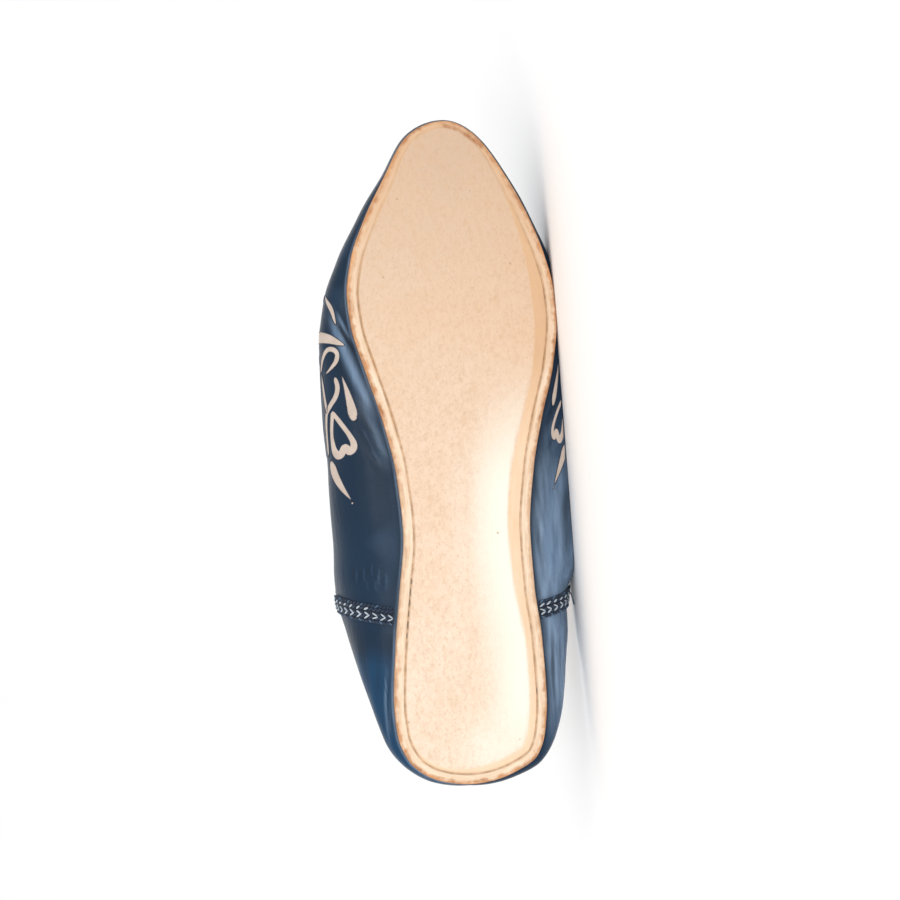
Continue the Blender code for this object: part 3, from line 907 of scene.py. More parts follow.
def sole_leather():
    """Vegetable-tanned cowhide, grain side out: pale, finely crackled, margin pared and edge burnished."""
    material, tree, shader, place = new_material("sole_cowhide", IOR=1.48)
    spot = {"Vector": (place, "Object")}
    along, inset, round_way, flexed, sheen_and_wear, margin, scuff = [
        add_node(tree, "ShaderNodeAttribute", attribute_name=name)
        for name in ("along", "inset", "round", "flexed", "pale_sheen_and_wear", "past_margin", "scuffed")]
    hide = add_node(tree, "ShaderNodeValToRGB", None, {"Fac": (along, "Fac")})
    for at, tone in HIDE_TONES[1:-1]:
        hide.color_ramp.elements.new(at)
    for stop, (at, tone) in zip(hide.color_ramp.elements, HIDE_TONES):
        stop.position = at
        stop.color = linear(tone)
    # Ways the patterns run: lengthwise, a little lengthwise, along the edge, and slanting
    high = add_node(tree, "ShaderNodeSeparateXYZ", None, spot)
    thick = add_node(tree, "ShaderNodeMath", {1: 1.0 / MM}, {0: (high, "Y")}, operation="MULTIPLY")
    on_edge = add_node(tree, "ShaderNodeCombineXYZ", None,
                       {"X": (round_way, "Fac"), "Y": (inset, "Fac"), "Z": (thick, "Value")})
    lengthwise, pulled, along_edge = [
        add_node(tree, "ShaderNodeMapping", {"Scale": (pull, 1.0, 1.0)}, {"Vector": source})
        for pull, source in ((0.12, spot["Vector"]), (0.7, spot["Vector"]), (0.10, (on_edge, "Vector")))]
    slanted = add_node(tree, "ShaderNodeMapping",
                       {"Rotation": (0.0, FLEX_SLANT, 0.0), "Scale": (4.0, 1.0, 1.0)}, spot,
                       vector_type="TEXTURE")
    cloud, ragged, fibre, crackle, flex, edge_fibre = [
        add_node(tree, "ShaderNodeTexNoise",
                 {"Scale": scale, "Detail": detail, "Roughness": rough, "Distortion": bent},
                 {"Vector": source})
        for source, scale, detail, rough, bent in (
            (spot["Vector"], per_mm(30.0), 5.0, 0.5, 0.0),
            (spot["Vector"], per_mm(3.2), 5.0, 0.5, 0.0),
            ((lengthwise, "Vector"), per_mm(1.1), 5.0, 0.5, 0.0),
            ((pulled, "Vector"), per_mm(1.3), 4.0, 0.5, 1.1),
            ((slanted, "Vector"), per_mm(1.3), 3.0, 0.5, 0.9),
            ((along_edge, "Vector"), 0.9, 6.0, 0.62, 0.0))]
    speck = add_node(tree, "ShaderNodeTexVoronoi", {"Scale": per_mm(11.0)}, spot)
    # Ragged margin and edge, and distances from the channel's line and from the waist
    wander, edge_wander = [
        add_node(tree, "ShaderNodeMath", {1: reach}, {0: (ragged, "Fac"), 2: (source, "Fac")},
                 operation="MULTIPLY_ADD") for reach, source in ((0.9, margin), (-4.5, inset))]
    off_line, off_waist = [
        add_node(tree, "ShaderNodeMath", {1: middle}, {0: (source, "Fac")}, operation="SUBTRACT")
        for middle, source in ((CHANNEL_INSET, inset), (0.33, along))]
    from_line, from_waist = [
        add_node(tree, "ShaderNodeMath", None, {0: (off, "Value")}, operation="ABSOLUTE")
        for off in (off_line, off_waist)]
    # The toe scuff's share, broken up by noise: real wear
    rubbed = add_node(tree, "ShaderNodeMath", None, {0: (scuff, "Fac"), 1: (ragged, "Fac")},
                      operation="MULTIPLY")
    shares = {"flexed": (flexed, "Fac"), "sheen_and_wear": (sheen_and_wear, "Fac")}
    for name, source, low, high, least, most in (
            ("patch", (cloud, "Fac"), 0.35, 0.7, 0.0, 0.3),
            ("crack", (crackle, "Fac"), 0.47, 0.68, 0.0, 0.36),
            ("strand", (fibre, "Fac"), 0.48, 0.74, 0.0, 0.09),
            ("wrinkle", (flex, "Fac"), 0.50, 0.64, 0.0, 0.18),
            ("blotch", (ragged, "Fac"), 0.42, 0.68, 0.0, 0.2),
            ("dot", (speck, "Distance"), 0.06, 0.03, 0.0, 0.5),
            ("pared", (wander, "Value"), 0.75, 0.25, 0.0, 0.9),
            ("trodden", (along, "Fac"), 0.50, 0.64, 0.0, 0.75),
            ("outside", (inset, "Fac"), CHANNEL_INSET + 0.3, CHANNEL_INSET - 0.4, 0.0, 0.8),
            ("fibred", (edge_fibre, "Fac"), 0.34, 0.66, 0.0, 1.0),
            ("to_toe", (along, "Fac"), 0.68, 0.9, 0.0, 0.6),
            ("groove", (from_line, "Value"), 0.9, 0.1, 0.0, 1.0),
            ("filled", (ragged, "Fac"), 0.36, 0.66, 0.15, 0.6),
            ("shut", (along, "Fac"), CHANNEL_CLOSES[0] / LENGTH, CHANNEL_CLOSES[1] / LENGTH, 1.0, 0.35),
            ("burnt", (edge_wander, "Value"), -0.4, -2.0, 0.0, 0.9),
            ("kept", (from_waist, "Value"), 0.06, 0.24, 0.45, 1.0),
            ("brown", (rubbed, "Value"), 0.22, 0.58, 0.0, 0.9),
            ("rough", (cloud, "Fac"), 0.0, 1.0, 0.45, 0.68)):
        share = add_node(tree, "ShaderNodeMapRange",
                         {"From Min": low, "From Max": high, "To Min": least, "To Max": most},
                         {"Value": source})
        shares[name] = (share, "Result")
    for name, first, second in (("fold", "wrinkle", "flexed"), ("open", "groove", "filled"),
                                ("line", "open", "shut"), ("dark", "burnt", "kept")):
        both = {0: shares[first], 1: shares[second]}
        shares[name] = (add_node(tree, "ShaderNodeMath", None, both, operation="MULTIPLY"), "Value")
    # Fibrous tones of the margin, the rim and the burnished edge, the first two darker towards the toe
    margin_tone, rim_tone, burnish = [
        add_node(tree, "ShaderNodeMix", {"A": linear(low), "B": linear(high)}, {"Factor": by},
                 data_type="RGBA")
        for by, low, high in (((edge_fibre, "Fac"), "#E6BE96", "#F6DABC"),
                              (shares["fibred"], "#DBB995", "#F3E0C9"),
                              (shares["fibred"], "#8F5024", "#DE9D61"))]
    ball_margin, toe_rim = [
        add_node(tree, "ShaderNodeMix", {"B": linear(tone)}, {"Factor": shares[by], "A": (under, "Result")},
                 data_type="RGBA")
        for by, under, tone in (("trodden", margin_tone, "#CFA377"), ("to_toe", rim_tone, "#C9976A"))]
    skin = (hide, "Color")
    # Tones laid over the hide; the near-white one is partly leather worn pale and partly a painted sheen
    for by, tone in (("patch", "#DDB58F"), ("crack", "#C79E77"), ("strand", "#C29A73"), ("fold", "#CDA882"),
                     ("blotch", "#D3AC85"), ("sheen_and_wear", "#F4EDDF"), ("dot", "#9C7A56"), ("pared", ball_margin),
                     ("outside", toe_rim), ("line", "#94724F"), ("dark", burnish), ("brown", "#A0622F")):
        coat = add_node(tree, "ShaderNodeMix", None, {"Factor": shares[by], "A": skin}, data_type="RGBA")
        if isinstance(tone, str):
            coat.inputs["B"].default_value = linear(tone)
        else:
            wire(tree, coat, {"B": (tone, "Result")})
        skin = (coat, "Result")
    surface = add_node(tree, "ShaderNodeMath", {1: 0.8}, {0: (fibre, "Fac"), 2: (crackle, "Fac")},
                       operation="MULTIPLY_ADD")
    height = add_node(tree, "ShaderNodeMath", None, {0: (surface, "Value"), 1: shares["fold"]},
                      operation="SUBTRACT")
    bump = add_node(tree, "ShaderNodeBump", {"Strength": 0.3, "Distance": 0.25 * MM},
                    {"Height": (height, "Value")})
    wire(tree, shader, {"Base Color": skin, "Normal": (bump, "Normal"), "Roughness": shares["rough"]})
    return material


def thread(name, low, high, roughness, plies):
    """Spun cotton thread: matt, with slanting plies that show as fine stripes along it."""
    material, tree, shader, place = new_material(name, IOR=1.47, Roughness=roughness, Sheen_Weight=0.15)
    ply = add_node(tree, "ShaderNodeTexWave", {"Scale": plies, "Distortion": 0.6, "Detail": 1.0},
                   {"Vector": (place, "UV")}, bands_direction="DIAGONAL")
    colour = add_node(tree, "ShaderNodeMix", {"A": linear(low), "B": linear(high)}, {"Factor": (ply, "Fac")},
                      data_type="RGBA")
    bump = add_node(tree, "ShaderNodeBump", {"Strength": 0.35, "Distance": 0.12 * MM},
                    {"Height": (ply, "Fac")})
    wire(tree, shader, {"Base Color": (colour, "Result"), "Normal": (bump, "Normal")})
    return material


def studio_floor():
    """Smooth pale paper, lit evenly."""
    material, tree, shader, place = new_material("pale_paper", IOR=1.45, Roughness=0.7)
    cloud = add_node(tree, "ShaderNodeTexNoise", {"Scale": 3.0, "Detail": 2.0}, {"Vector": (place, "Object")})
    colour = add_node(tree, "ShaderNodeMix", {"A": linear("#FAFAFA"), "B": linear("#FDFDFD")},
                      {"Factor": (cloud, "Fac")}, data_type="RGBA")
    wire(tree, shader, {"Base Color": (colour, "Result")})
    return material


# Pieces


def rubbed_share(side, grid):
    """How far the navy is painted paler as sheen: a painted reflection of the floor low on the outer side, and
    painted highlights by the sole and along lines on the inner.
    """
    up = up_the_wall(grid)
    along = np.broadcast_to(RIBS[:, None], up.shape)
    if side == OUTER:
        low = ease(*PAINTED_REFLECTION_FROM, up) * (1.0 - PAINTED_REFLECTION_DROP * ease(*PAINTED_REFLECTION_LESS, up))
        low *= 1.0 - ease(*PAINTED_REFLECTION_TO, up)
        return low * (1.0 - ease(*PAINTED_REFLECTION_AHEAD, along)) * ease(*PAINTED_REFLECTION_HEEL, along)
    share = TURN_IN_SHARE * np.exp(-((up - TURN_IN_UP) / TURN_IN_WIDTH) ** 2)
    share *= 1.0 - ease(*TURN_IN_AHEAD, along)
    for *line, width, most in PAINTED_HIGHLIGHT_LINES[side]:
        aside, fade = beside(along, up, line)
        share = np.maximum(share, most * fade * np.exp(-(aside / width) ** 2))
    return share


def quarter_share(side, grid):
    """Where the heel quarter of the inner side is coloured bluer than the vamp."""
    up = up_the_wall(grid)
    over = ease(0.0, QUARTER_OVER, up - up[:, WALL_STEPS:WALL_STEPS + 1])
    behind = 1.0 - ease(*QUARTER_SKIN, RIBS[:, None])
    return (side == INNER) * behind * (1.0 - over) * ease(*QUARTER_ASIDE, np.abs(grid[..., 1]))


def skived_share(side, grid):
    """How much of its thickness the leather keeps: it is pared thin where the heel folds close on itself."""
    corner = spring(wall_above(side, np.array(SEAM_AT), np.array(1.0)))
    share = ease(*SKIVED_WIDE, np.linalg.norm(grid - corner, axis=-1))
    heel = RIBS < SEAM_AT
    folded = grid[heel]
    top = WALL_STEPS + folded[:, WALL_STEPS:, 2].argmax(axis=1)
    rising = np.arange(folded.shape[1])[None, :] <= top[:, None]
    gaps = np.linalg.norm(folded[rising][:, None] - folded[~rising][None], axis=-1)
    room = np.empty(rising.shape)
    room[rising] = gaps.min(axis=1)
    room[~rising] = gaps.min(axis=0)
    share[heel] = np.minimum(share[heel], room * FOLD_ROOM / WALL)
    return np.clip(share, SKIVED_LEAST, 1.0)


def make_upper():
    """Both sides of the leather, joined at heel, ridge and toe, creased, then given its thickness inwards."""
    halves = []
    for side in SIDES:
        grid, moved = creased_side(side)
        remember_skin(side, grid)
        half = lay_grid("upper_" + SIDES[side], grid)
        # The painted sheen goes to the material with the creases, the bluer quarter and how thin the leather
        # is pared
        keep_values(half, moved=moved, rubbed=rubbed_share(side, grid), quarter=quarter_share(side, grid),
                    skived=skived_share(side, grid))
        halves.append(half)
    upper = join("upper_leather", halves)
    edit(upper, MERGE, FACE_OUT)
    for material in (navy_goatskin(), tan_leather("lining_sheepskin", "#B98F66", "#D3AE86", 0.9),
                     tan_leather("raw_edge", "#3A3A42", "#5C5049", 0.7)):
        upper.data.materials.append(material)
    skived = upper.vertex_groups.new(name="skived_edge")
    for vertex, share in enumerate(upper.data.attributes["skived"].data):
        skived.add([vertex], share.value, "REPLACE")
    wall = upper.modifiers.new("wall", "SOLIDIFY")
    wall.vertex_group = skived.name
    wall.thickness = WALL * MM
    wall.offset = -1.0
    wall.use_quality_normals = True
    wall.material_offset = 1
    wall.material_offset_rim = 2
    bpy.ops.object.modifier_apply(modifier=wall.name)
    hand_over(upper, 50.0, "upper_leather", "upper")


def smooth_line(line, closed):
    """Points at even steps along a smooth curve through a few points of a stroke."""
    line = np.array(line, dtype=float)
    if closed:
        padded = np.concatenate((line[-1:], line, line[:2]))
    else:
        padded = np.concatenate((2.0 * line[:1] - line[1:2], line, 2.0 * line[-1:] - line[-2:-1]))
    t = np.linspace(0.0, 1.0, SPAN_STEPS, endpoint=False)[:, None]
    spans = []
    for a, b, c, d in zip(padded, padded[1:], padded[2:], padded[3:]):
        bend = 2.0 * a - 5.0 * b + 4.0 * c - d
        spans.append(0.5 * (2.0 * b + t * (c - a + t * (bend + t * (3.0 * b - a - 3.0 * c + d)))))
    dense = np.concatenate(spans + [padded[-2][None, :]])
    way = ways(dense)
    even = np.linspace(0.0, way[-1], max(STROKE_FEWEST, int(way[-1] / STROKE_STEP)) + 1)
    return at_ways(dense, way, even), even


def stroke_width(shape, share, half_width):
    """Half the width of a stroke at a share of its length."""
    def rounded(off):
        return np.sqrt(1.0 - np.clip(off, 0.0, 1.0) ** 2)

    widths = {
        "leaf": np.clip(np.sin(math.pi * share), 0.0, 1.0) ** LEAF_POWER,
        "drop": (np.clip(share / DROP_FULLEST, 0.0, 1.0) ** DROP_POWER
                 * rounded((share - DROP_FULLEST) / (1.0 - DROP_FULLEST))),
        "limb": rounded(np.abs(2.0 * share - 1.0) ** LIMB_POWER),
        "taper": (rounded(1.0 - share / TAPER_BLUNT)
                  * np.clip((1.0 - share) / TAPER_LAST, 0.0, 1.0) ** TAPER_POWER),
        "ring": np.ones_like(share),
    }
    return half_width * widths[shape]


def make_stroke(name, side, mirror, shape, half_width, line):
    """One cut of the ornament: a sunk cream face between two turned-up navy lips, laid on the upper."""
    path, way = smooth_line([(along, mirror * across) for along, across in line], shape == "ring")
    half = stroke_width(shape, way / way[-1], half_width)
    if shape == "ring":
        half = half * (1.0 + RING_GAIN * (1.0 - ease(*RING_FULLER, path[:, 0])))
    lip = np.full_like(half, LIP_WIDTH)
    run = unit(np.gradient(path, axis=0))
    if shape == "ring":
        run[0] = run[-1] = unit(path[1] - path[-2])
    else:
        ends = np.stack((path[0] - run[0] * LIP_WIDTH, path[-1] + run[-1] * LIP_WIDTH))
        path = np.concatenate((ends[:1], path, ends[1:]))
        run = np.concatenate((run[:1], run, run[-1:]))
        half = np.concatenate(([0.0], half, [0.0]))
        lip = np.concatenate(([0.0], lip, [0.0]))
    aside = np.stack((-run[:, 1], run[:, 0]), axis=1)
    turned_up = RING_LIP_RISE if shape == "ring" else LIP_RISE
    profile = ((1.0, 1.0, LIP_FOOT), (1.0, LIP_CREST[0], turned_up), (1.0, LIP_CREST[1], turned_up),
               (1.0, 0.0, FACE_RISE * FACE_EDGE), (FACE_FLAT, 0.0, FACE_RISE), (0.0, 0.0, FACE_RISE))
    profile = profile + tuple((-face, -edge, rise) for face, edge, rise in profile[-2::-1])
    columns = []
    for face, edge, rise in profile:
        offset = half * face + lip * edge
        plan = path + aside * offset[:, None]
        along = plan[:, 0] + BOUQUET_AHEAD[side]
        stem = STEM_UP[side] + STEM_SLOPE[side] * (along - STEM_AT)
        columns.append(on_skin(side, along, stem - plan[:, 1] * BOUQUET_SPREAD[side], rise))
    stroke = lay_grid(name, press(np.stack(columns, axis=1)))
    across = len(profile) - 1
    faces = np.arange(len(stroke.data.polygons)) % across
    sunk = (faces >= LIP_FACES) & (faces < across - LIP_FACES)
    for material in CUTWORK:
        stroke.data.materials.append(material)
    stroke.data.polygons.foreach_set("material_index", np.where(sunk, 0, 1).astype(np.int32))
    return stroke


CUTWORK = (cream_leather(), cut_edge())


def make_cutwork(side):
    strokes = []
    for name, shape, half_width, mirrored, line in STROKES:
        for mirror in (1.0, -1.0) if mirrored else (1.0,):
            strokes.append(make_stroke(name, side, mirror, shape, half_width, line))
    cutwork = join("cutwork_" + SIDES[side], strokes)
    edit(cutwork, MERGE, FACE_OUT)
    hand_over(cutwork, 60.0, None)


def outline_distance(plan):
    """Distance of plan points from the sole's edge, and how far round from the heel their nearest edge is."""
    edge = sole_ring(0.0, 0.0, EDGE_STEPS)[:, :2]
    way = ways(edge)
    way = np.where(np.arange(len(way)) > EDGE_STEPS, way[-1] - way, way)
    gaps = []
    nearest = []
    for chunk in np.array_split(plan, max(1, len(plan) // EDGE_STEPS)):
        far = np.linalg.norm(chunk[:, None] - edge[None], axis=2)
        gaps.append(far.min(axis=1))
        nearest.append(way[far.argmin(axis=1)])
    return np.concatenate(gaps), np.concatenate(nearest)


def make_slab(name, profile, across, narrows=False):
    """A cut of leather: rings from its bottom round its edge to its top, and both faces filled crosswise.

    One that narrows has a margin that is narrower at the toe, and a channel that closes on the way there.
    """
    steps = SOLE_STEPS
    rings = [sole_ring(inset, height, steps, narrows) for inset, height in profile]
    if narrows:
        for ring, (inset, height) in zip(rings[CHANNEL_RINGS], profile[CHANNEL_RINGS]):
            ring[:, 2] -= CHANNEL_SHUT * height * ease(*CHANNEL_CLOSES, ring[:, 0])
    parts = [lay_grid(name + "_side", np.stack(rings))]
    share = np.linspace(0.0, 1.0, across + 1)[None, :, None]
    for ring in (rings[0], rings[-1]):
        outer = ring[:steps + 1][:, None]
        inner = ring[:steps - 1:-1][:, None]
        parts.append(lay_grid(name + "_face", outer * (1.0 - share) + inner * share))
    slab = join(name, parts)
    edit(slab, MERGE, FACE_OUT)
    return slab


def sole_marks(along, aside):
    """What the sole's material reads at plan points: margins, a pale band that is partly wear and partly
    painted sheen, flex lines and scuff.
    """
    inset, round_way = outline_distance(np.stack((along, aside), axis=1))
    inset = inset / toe_narrowing(along)
    inner, outer = [read(MARGIN_COLUMNS, MARGIN_ROWS, SIDES[side], along) for side in SIDES]
    past = inset - inner - (outer - inner) * ease(*MARGIN_ASIDE, aside)
    sheen_and_wear_share = ease(*SHEEN_AND_WEAR_FROM, past) * (1.0 - ease(*SHEEN_AND_WEAR_WIDE, past)) * ease(*SHEEN_AND_WEAR_ASIDE, aside)
    sheen_and_wear_share *= (1.0 - ease(*SHEEN_AND_WEAR_ALONG, along)) * ease(*SHEEN_AND_WEAR_HEEL, along)
    scuff = np.zeros(len(along))
    for start, end in zip(SCUFF, SCUFF[1:]):
        run = np.subtract(end, start)
        ahead = (along - start[0]) * run[0] + (aside - start[1]) * run[1]
        share = np.clip(ahead / np.dot(run, run), 0.0, 1.0)
        off = np.hypot(along - start[0] - share * run[0], aside - start[1] - share * run[1])
        scuff = np.maximum(scuff, np.exp(-(off / SCUFF_WIDTH) ** 2))
    flexed = ease(*FLEX_FROM, along) * (1.0 - ease(*FLEX_TO, along))
    return {"inset": inset, "past_margin": past, "along": along / LENGTH, "pale_sheen_and_wear": sheen_and_wear_share, "flexed": flexed,
            "scuffed": scuff, "round": round_way}


def make_outsole():
    """The sole, from the inside of its channel out over the rim and round its edge to its top."""
    channel = [(CHANNEL_INSET + CHANNEL_HALF_WIDTH * off, CHANNEL_DEPTH * deep) for off, deep in CHANNEL_ARC]
    lip = [(CHANNEL_INSET - CHANNEL_HALF_WIDTH, CHANNEL_LIP)]
    slope = [(inset, CHANNEL_LIP + rise) for inset, rise in RIM_SLOPE]
    turn = [(EDGE_ROUND * inside, RIM_RISE + EDGE_ROUND * up) for inside, up in EDGE_ARC]
    edge = [
        (0.0, (RIM_RISE + EDGE_ROUND + SOLE_THICK) / 2.0),
        (0.0, SOLE_THICK - EDGE_ROUND / 2.0),
        (EDGE_ROUND / 8.0, SOLE_THICK - EDGE_ROUND / 8.0),
        (EDGE_ROUND / 2.0, SOLE_THICK),
    ]
    sole = make_slab("outsole_leather", channel + lip + slope + turn + edge, SOLE_ACROSS, True)
    spots = np.empty(len(sole.data.vertices) * 3)
    sole.data.vertices.foreach_get("co", spots)
    spots = spots.reshape(-1, 3) / MM - SET_AT
    along = spots[:, 0] * math.cos(TOE_DIP) - spots[:, 2] * math.sin(TOE_DIP)
    aside = -spots[:, 0] * math.sin(TOE_DIP) - spots[:, 2] * math.cos(TOE_DIP)
    keep_values(sole, **sole_marks(along, aside))
    sole.data.materials.append(sole_leather())
    hand_over(sole, 40.0, "sole_leather", "outsole")


def make_sock():
    """The insole: a thin tan leather sock on the sole, inside the upper."""
    inset = FEATHER_INSET + WALL + INSOLE_CLEAR
    low = SOLE_THICK + GAP
    profile = (
        (inset + INSOLE_ROUND / 2.0, low),
        (inset, low + INSOLE_ROUND / 2.0),
        (inset, low + INSOLE_THICK - INSOLE_ROUND),
        (inset + INSOLE_ROUND * INSOLE_CORNER, low + INSOLE_THICK - INSOLE_ROUND * INSOLE_CORNER),
        (inset + INSOLE_ROUND, low + INSOLE_THICK),
    )
    sock = make_slab("insole_sock", profile, SOCK_ACROSS)
    sock.data.materials.append(tan_leather("insole_sheepskin", "#A97F55", "#CBA277", 1.1))
    hand_over(sock, 40.0, "insole_leather", "insole")


def make_stitch():
    """One stitch of thread, one unit long, wide and thick, to be copied."""
    pick()
    bpy.ops.mesh.primitive_uv_sphere_add(segments=10, ring_count=8, radius=0.5)
    stitch = bpy.context.object
    stitch.name = "stitch"
    return stitch


def copy_stitch(stitch, spot, run, square, sizes, material):
    """A copy of the stitch: its place, which way it runs, which way it faces, and its sizes."""
    run = unit(run)
    square = unit(square - run * np.dot(run, square))
    aside = np.cross(square, run)
    long, wide, thick = sizes
    axes = np.stack((aside * wide, square * thick, run * long), axis=1)
    copy = stitch.copy()
    copy.data = stitch.data.copy()
    bpy.context.collection.objects.link(copy)
    shape = np.empty(len(copy.data.vertices) * 3)
    copy.data.vertices.foreach_get("co", shape)
    copy.data.vertices.foreach_set("co", placed(shape.reshape(-1, 3) @ axes.T + spot).reshape(-1))
    copy.data.materials.append(material)
    return copy


def on_braid(side, t, across, lift):
    """A point on the side seam's braid: share of the way up, distance forward of its middle, and height."""
    def on_wall(a, b):
        return press(wall_below(side, SEAM_AT - BRAID_LEAN * (1.0 - b) + a, b))

    across, t, lift = np.broadcast_arrays(across, np.asarray(t, dtype=float), lift)
    up = unit(on_wall(across, np.minimum(t + SMALL_STEP, 1.0)) - on_wall(across, t - SMALL_STEP))
    fore = unit(on_wall(across + SMALL_STEP, t) - on_wall(across - SMALL_STEP, t))
    square = unit(np.cross(up, fore) * side)
    return on_wall(across, t) + square * lift[..., None], up, fore, square


def make_braid(side):
    """A dark band over the side seam, with rows of pale, blue and navy stitches worked into it."""
    across = np.linspace(-0.5, 0.5, BRAID_ACROSS + 1)[None, :] * BRAID_WIDTH
    t = np.linspace(BRAID_FOOT, 1.0, BRAID_STEPS + 1)[:, None]
    dome = np.sqrt(np.clip(1.0 - (2.0 * across / BRAID_WIDTH) ** 2, 0.0, 1.0))
    top = on_braid(side, t, across, BRAID_BED * dome)[0]
    under = on_braid(side, t, across, BRAID_SUNK)[0]
    bed = lay_grid("braid_bed", np.concatenate((under, top[:, ::-1], under[:, :1]), axis=1))
    bed.data.materials.append(BRAID_THREADS["bed"])
    edit(bed, MERGE, CAP_ENDS, FACE_OUT)
    levels = np.linspace(BRAID_FOOT, 1.0, BRAID_LEVELS)
    way = ways(on_braid(side, levels, 0.0, 0.0)[0])
    stitch = make_stitch()
    parts = [bed]
    for across, pitch, slant, long, wide, chevron, shade, every, inner_from in BRAID_ROWS:
        count = int((way[-1] - pitch) / pitch)
        lift = min(STITCH_RISE + BRAID_BED * math.sqrt(1.0 - (2.0 * across / BRAID_WIDTH) ** 2), BRAID_THICK)
        limbs = ((CHEVRON_HALF, -slant), (-CHEVRON_HALF, slant)) if chevron else ((0.0, slant),)
        for k in range(count):
            share = (k + BRAID_ENDS[0]) / (count + BRAID_ENDS[1])
            level = np.interp(way[-1] * share ** BRAID_SPREAD, way, levels)
            shown = k % every == 0 and (side == OUTER or share >= inner_from)
            colour = BRAID_THREADS[shade if shown else "navy"]
            for shift, turn in limbs:
                spot, up, fore, square = on_braid(side, level, across + shift, lift)
                lean = math.radians(turn + random.uniform(-HAND_LEAN, HAND_LEAN))
                run = up * side * math.cos(lean) + fore * math.sin(lean)
                sizes = (long * random.uniform(*HAND_SIZE), wide * random.uniform(*HAND_SIZE),
                         wide * STITCH_FLAT)
                parts.append(copy_stitch(stitch, spot, run, square, sizes, colour))
    bpy.data.objects.remove(stitch)
    braid = join("side_braid_thread_" + SIDES[side], parts)
    hand_over(braid, 60.0, "braid_thread", "side_braid_" + SIDES[side])


def throat_line(share, t):
    """A line on the upper by the throat edge, from the inner corner, share -1, to the outer one, share 1."""
    along = SEAM_AT + (THROAT_AT - SEAM_AT) * np.cos(np.abs(share) * math.pi / 2.0)
    inner, outer = [wall_above(side, along, np.full_like(along, t)) for side in (INNER, OUTER)]
    return press(np.where((share < 0.0)[:, None], inner, outer))


CORD_TWIST = 3.4
CORD_STRANDS = 2
CORD_END = 5.0
CORD_LEAST = 0.04
CORD_LOBE = 0.3
CORD_INSIDE = 0.97
THROAT_BACK = 2.0
THROAT_POWER = 8


def make_collar_cord():
    """A dark cord of two twisted strands, sewn along the throat edge, thinner towards its ends."""
    share = np.linspace(-1.0, 1.0, CORD_STEPS + 1)
    path = throat_line(share, 1.0)
    run = unit(np.gradient(path, axis=0))
    ahead = unit(path - throat_line(share, CORD_INSIDE))
    ahead[:, 0] -= THROAT_BACK * np.cos(share * math.pi / 2.0) ** THROAT_POWER
    away = unit(ahead - np.sum(ahead * run, axis=1, keepdims=True) * run)
    inward = np.cross(away, run)
    way = ways(path)
    to_end = np.minimum(way, way[-1] - way)
    radius = CORD_RADIUS * np.sqrt(np.clip(to_end / CORD_END, CORD_LEAST, 1.0))
    centre = press(path + away * (radius + GAP)[:, None] + inward * WALL / 2.0, CORD_RADIUS + GAP)
    turn = np.linspace(0.0, 2.0 * math.pi, CORD_SIDES + 1)[None, :]
    twist = 2.0 * math.pi * way[:, None] / (CORD_TWIST * CORD_STRANDS)
    lobe = 1.0 - CORD_LOBE + CORD_LOBE * np.abs(np.cos((turn - twist) * CORD_STRANDS / 2.0))
    cord = lay_tube("collar_cord_thread", centre, away, inward, radius[:, None] * lobe)
    cord.data.materials.append(thread("collar_cotton", "#0E1B2B", "#243D58", 0.7, 160.0))
    hand_over(cord, 60.0, "collar_thread", "collar_cord")


def make_sole_stitches():
    """Waxed thread in the sole's channel, which shows only where the channel has opened."""
    ring = sole_ring(CHANNEL_INSET, 0.0, SOLE_STEPS, True)
    way = ways(ring)
    stitch = make_stitch()
    waxed = thread("waxed_linen", "#75665A", "#9C8973", 0.5, 20.0)
    parts = []
    for k in range(int(way[-1] / STITCH_PITCH)):
        at = STITCH_PITCH * (k + 0.5)
        depth = random.uniform(*STITCH_DEEP)
        long = STITCH_LONG * random.uniform(*STITCH_EVEN)
        here, before, after = [at_ways(ring, way, at + step) for step in (0.0, -STITCH_AHEAD, STITCH_AHEAD)]
        if not any(low < here[0] < high for low, high in STITCH_SPANS[OUTER if here[1] > 0.0 else INNER]):
            continue
        here[2] += CHANNEL_DEPTH * depth
        sizes = (long, STITCH_THICK, STITCH_THICK)
        parts.append(copy_stitch(stitch, here, after - before, np.array((0.0, 0.0, -1.0)), sizes, waxed))
    bpy.data.objects.remove(stitch)
    hand_over(join("sole_stitches", parts), 60.0, None)


LOOSE_AT = (0.97, 1.6, 0.7)
LOOSE_LINE = ((0.0, 0.0, 0.0), (-0.9, 0.9, -0.7), (-2.2, 1.9, -1.8), (-3.8, 2.9, -3.2), (-5.4, 3.6, -5.2))
LOOSE_RADIUS = 0.24
LOOSE_CLEAR = 0.35
LOOSE_STEPS = 32
LOOSE_SIDES = 8


def make_loose_end():
    """The cut end of a thread at the outer corner of the collar, curling down on to the floor."""
    line = on_braid(OUTER, *LOOSE_AT)[0] + np.array(LOOSE_LINE)
    knots = np.linspace(0.0, 1.0, len(line))
    at = np.linspace(0.0, 1.0, LOOSE_STEPS + 1)
    centre = press(np.stack([smooth_through(knots, part, at) for part in line.T], axis=1), LOOSE_CLEAR)
    run = unit(np.gradient(centre, axis=0))
    away = unit(np.cross(run, FLOOR_WARD))
    reach = np.full((LOOSE_STEPS + 1, LOOSE_SIDES + 1), LOOSE_RADIUS)
    end = lay_tube("loose_thread_end", centre, away, np.cross(run, away), reach)
    end.data.materials.append(BRAID_THREADS["blue"])
    hand_over(end, 60.0, "braid_thread")


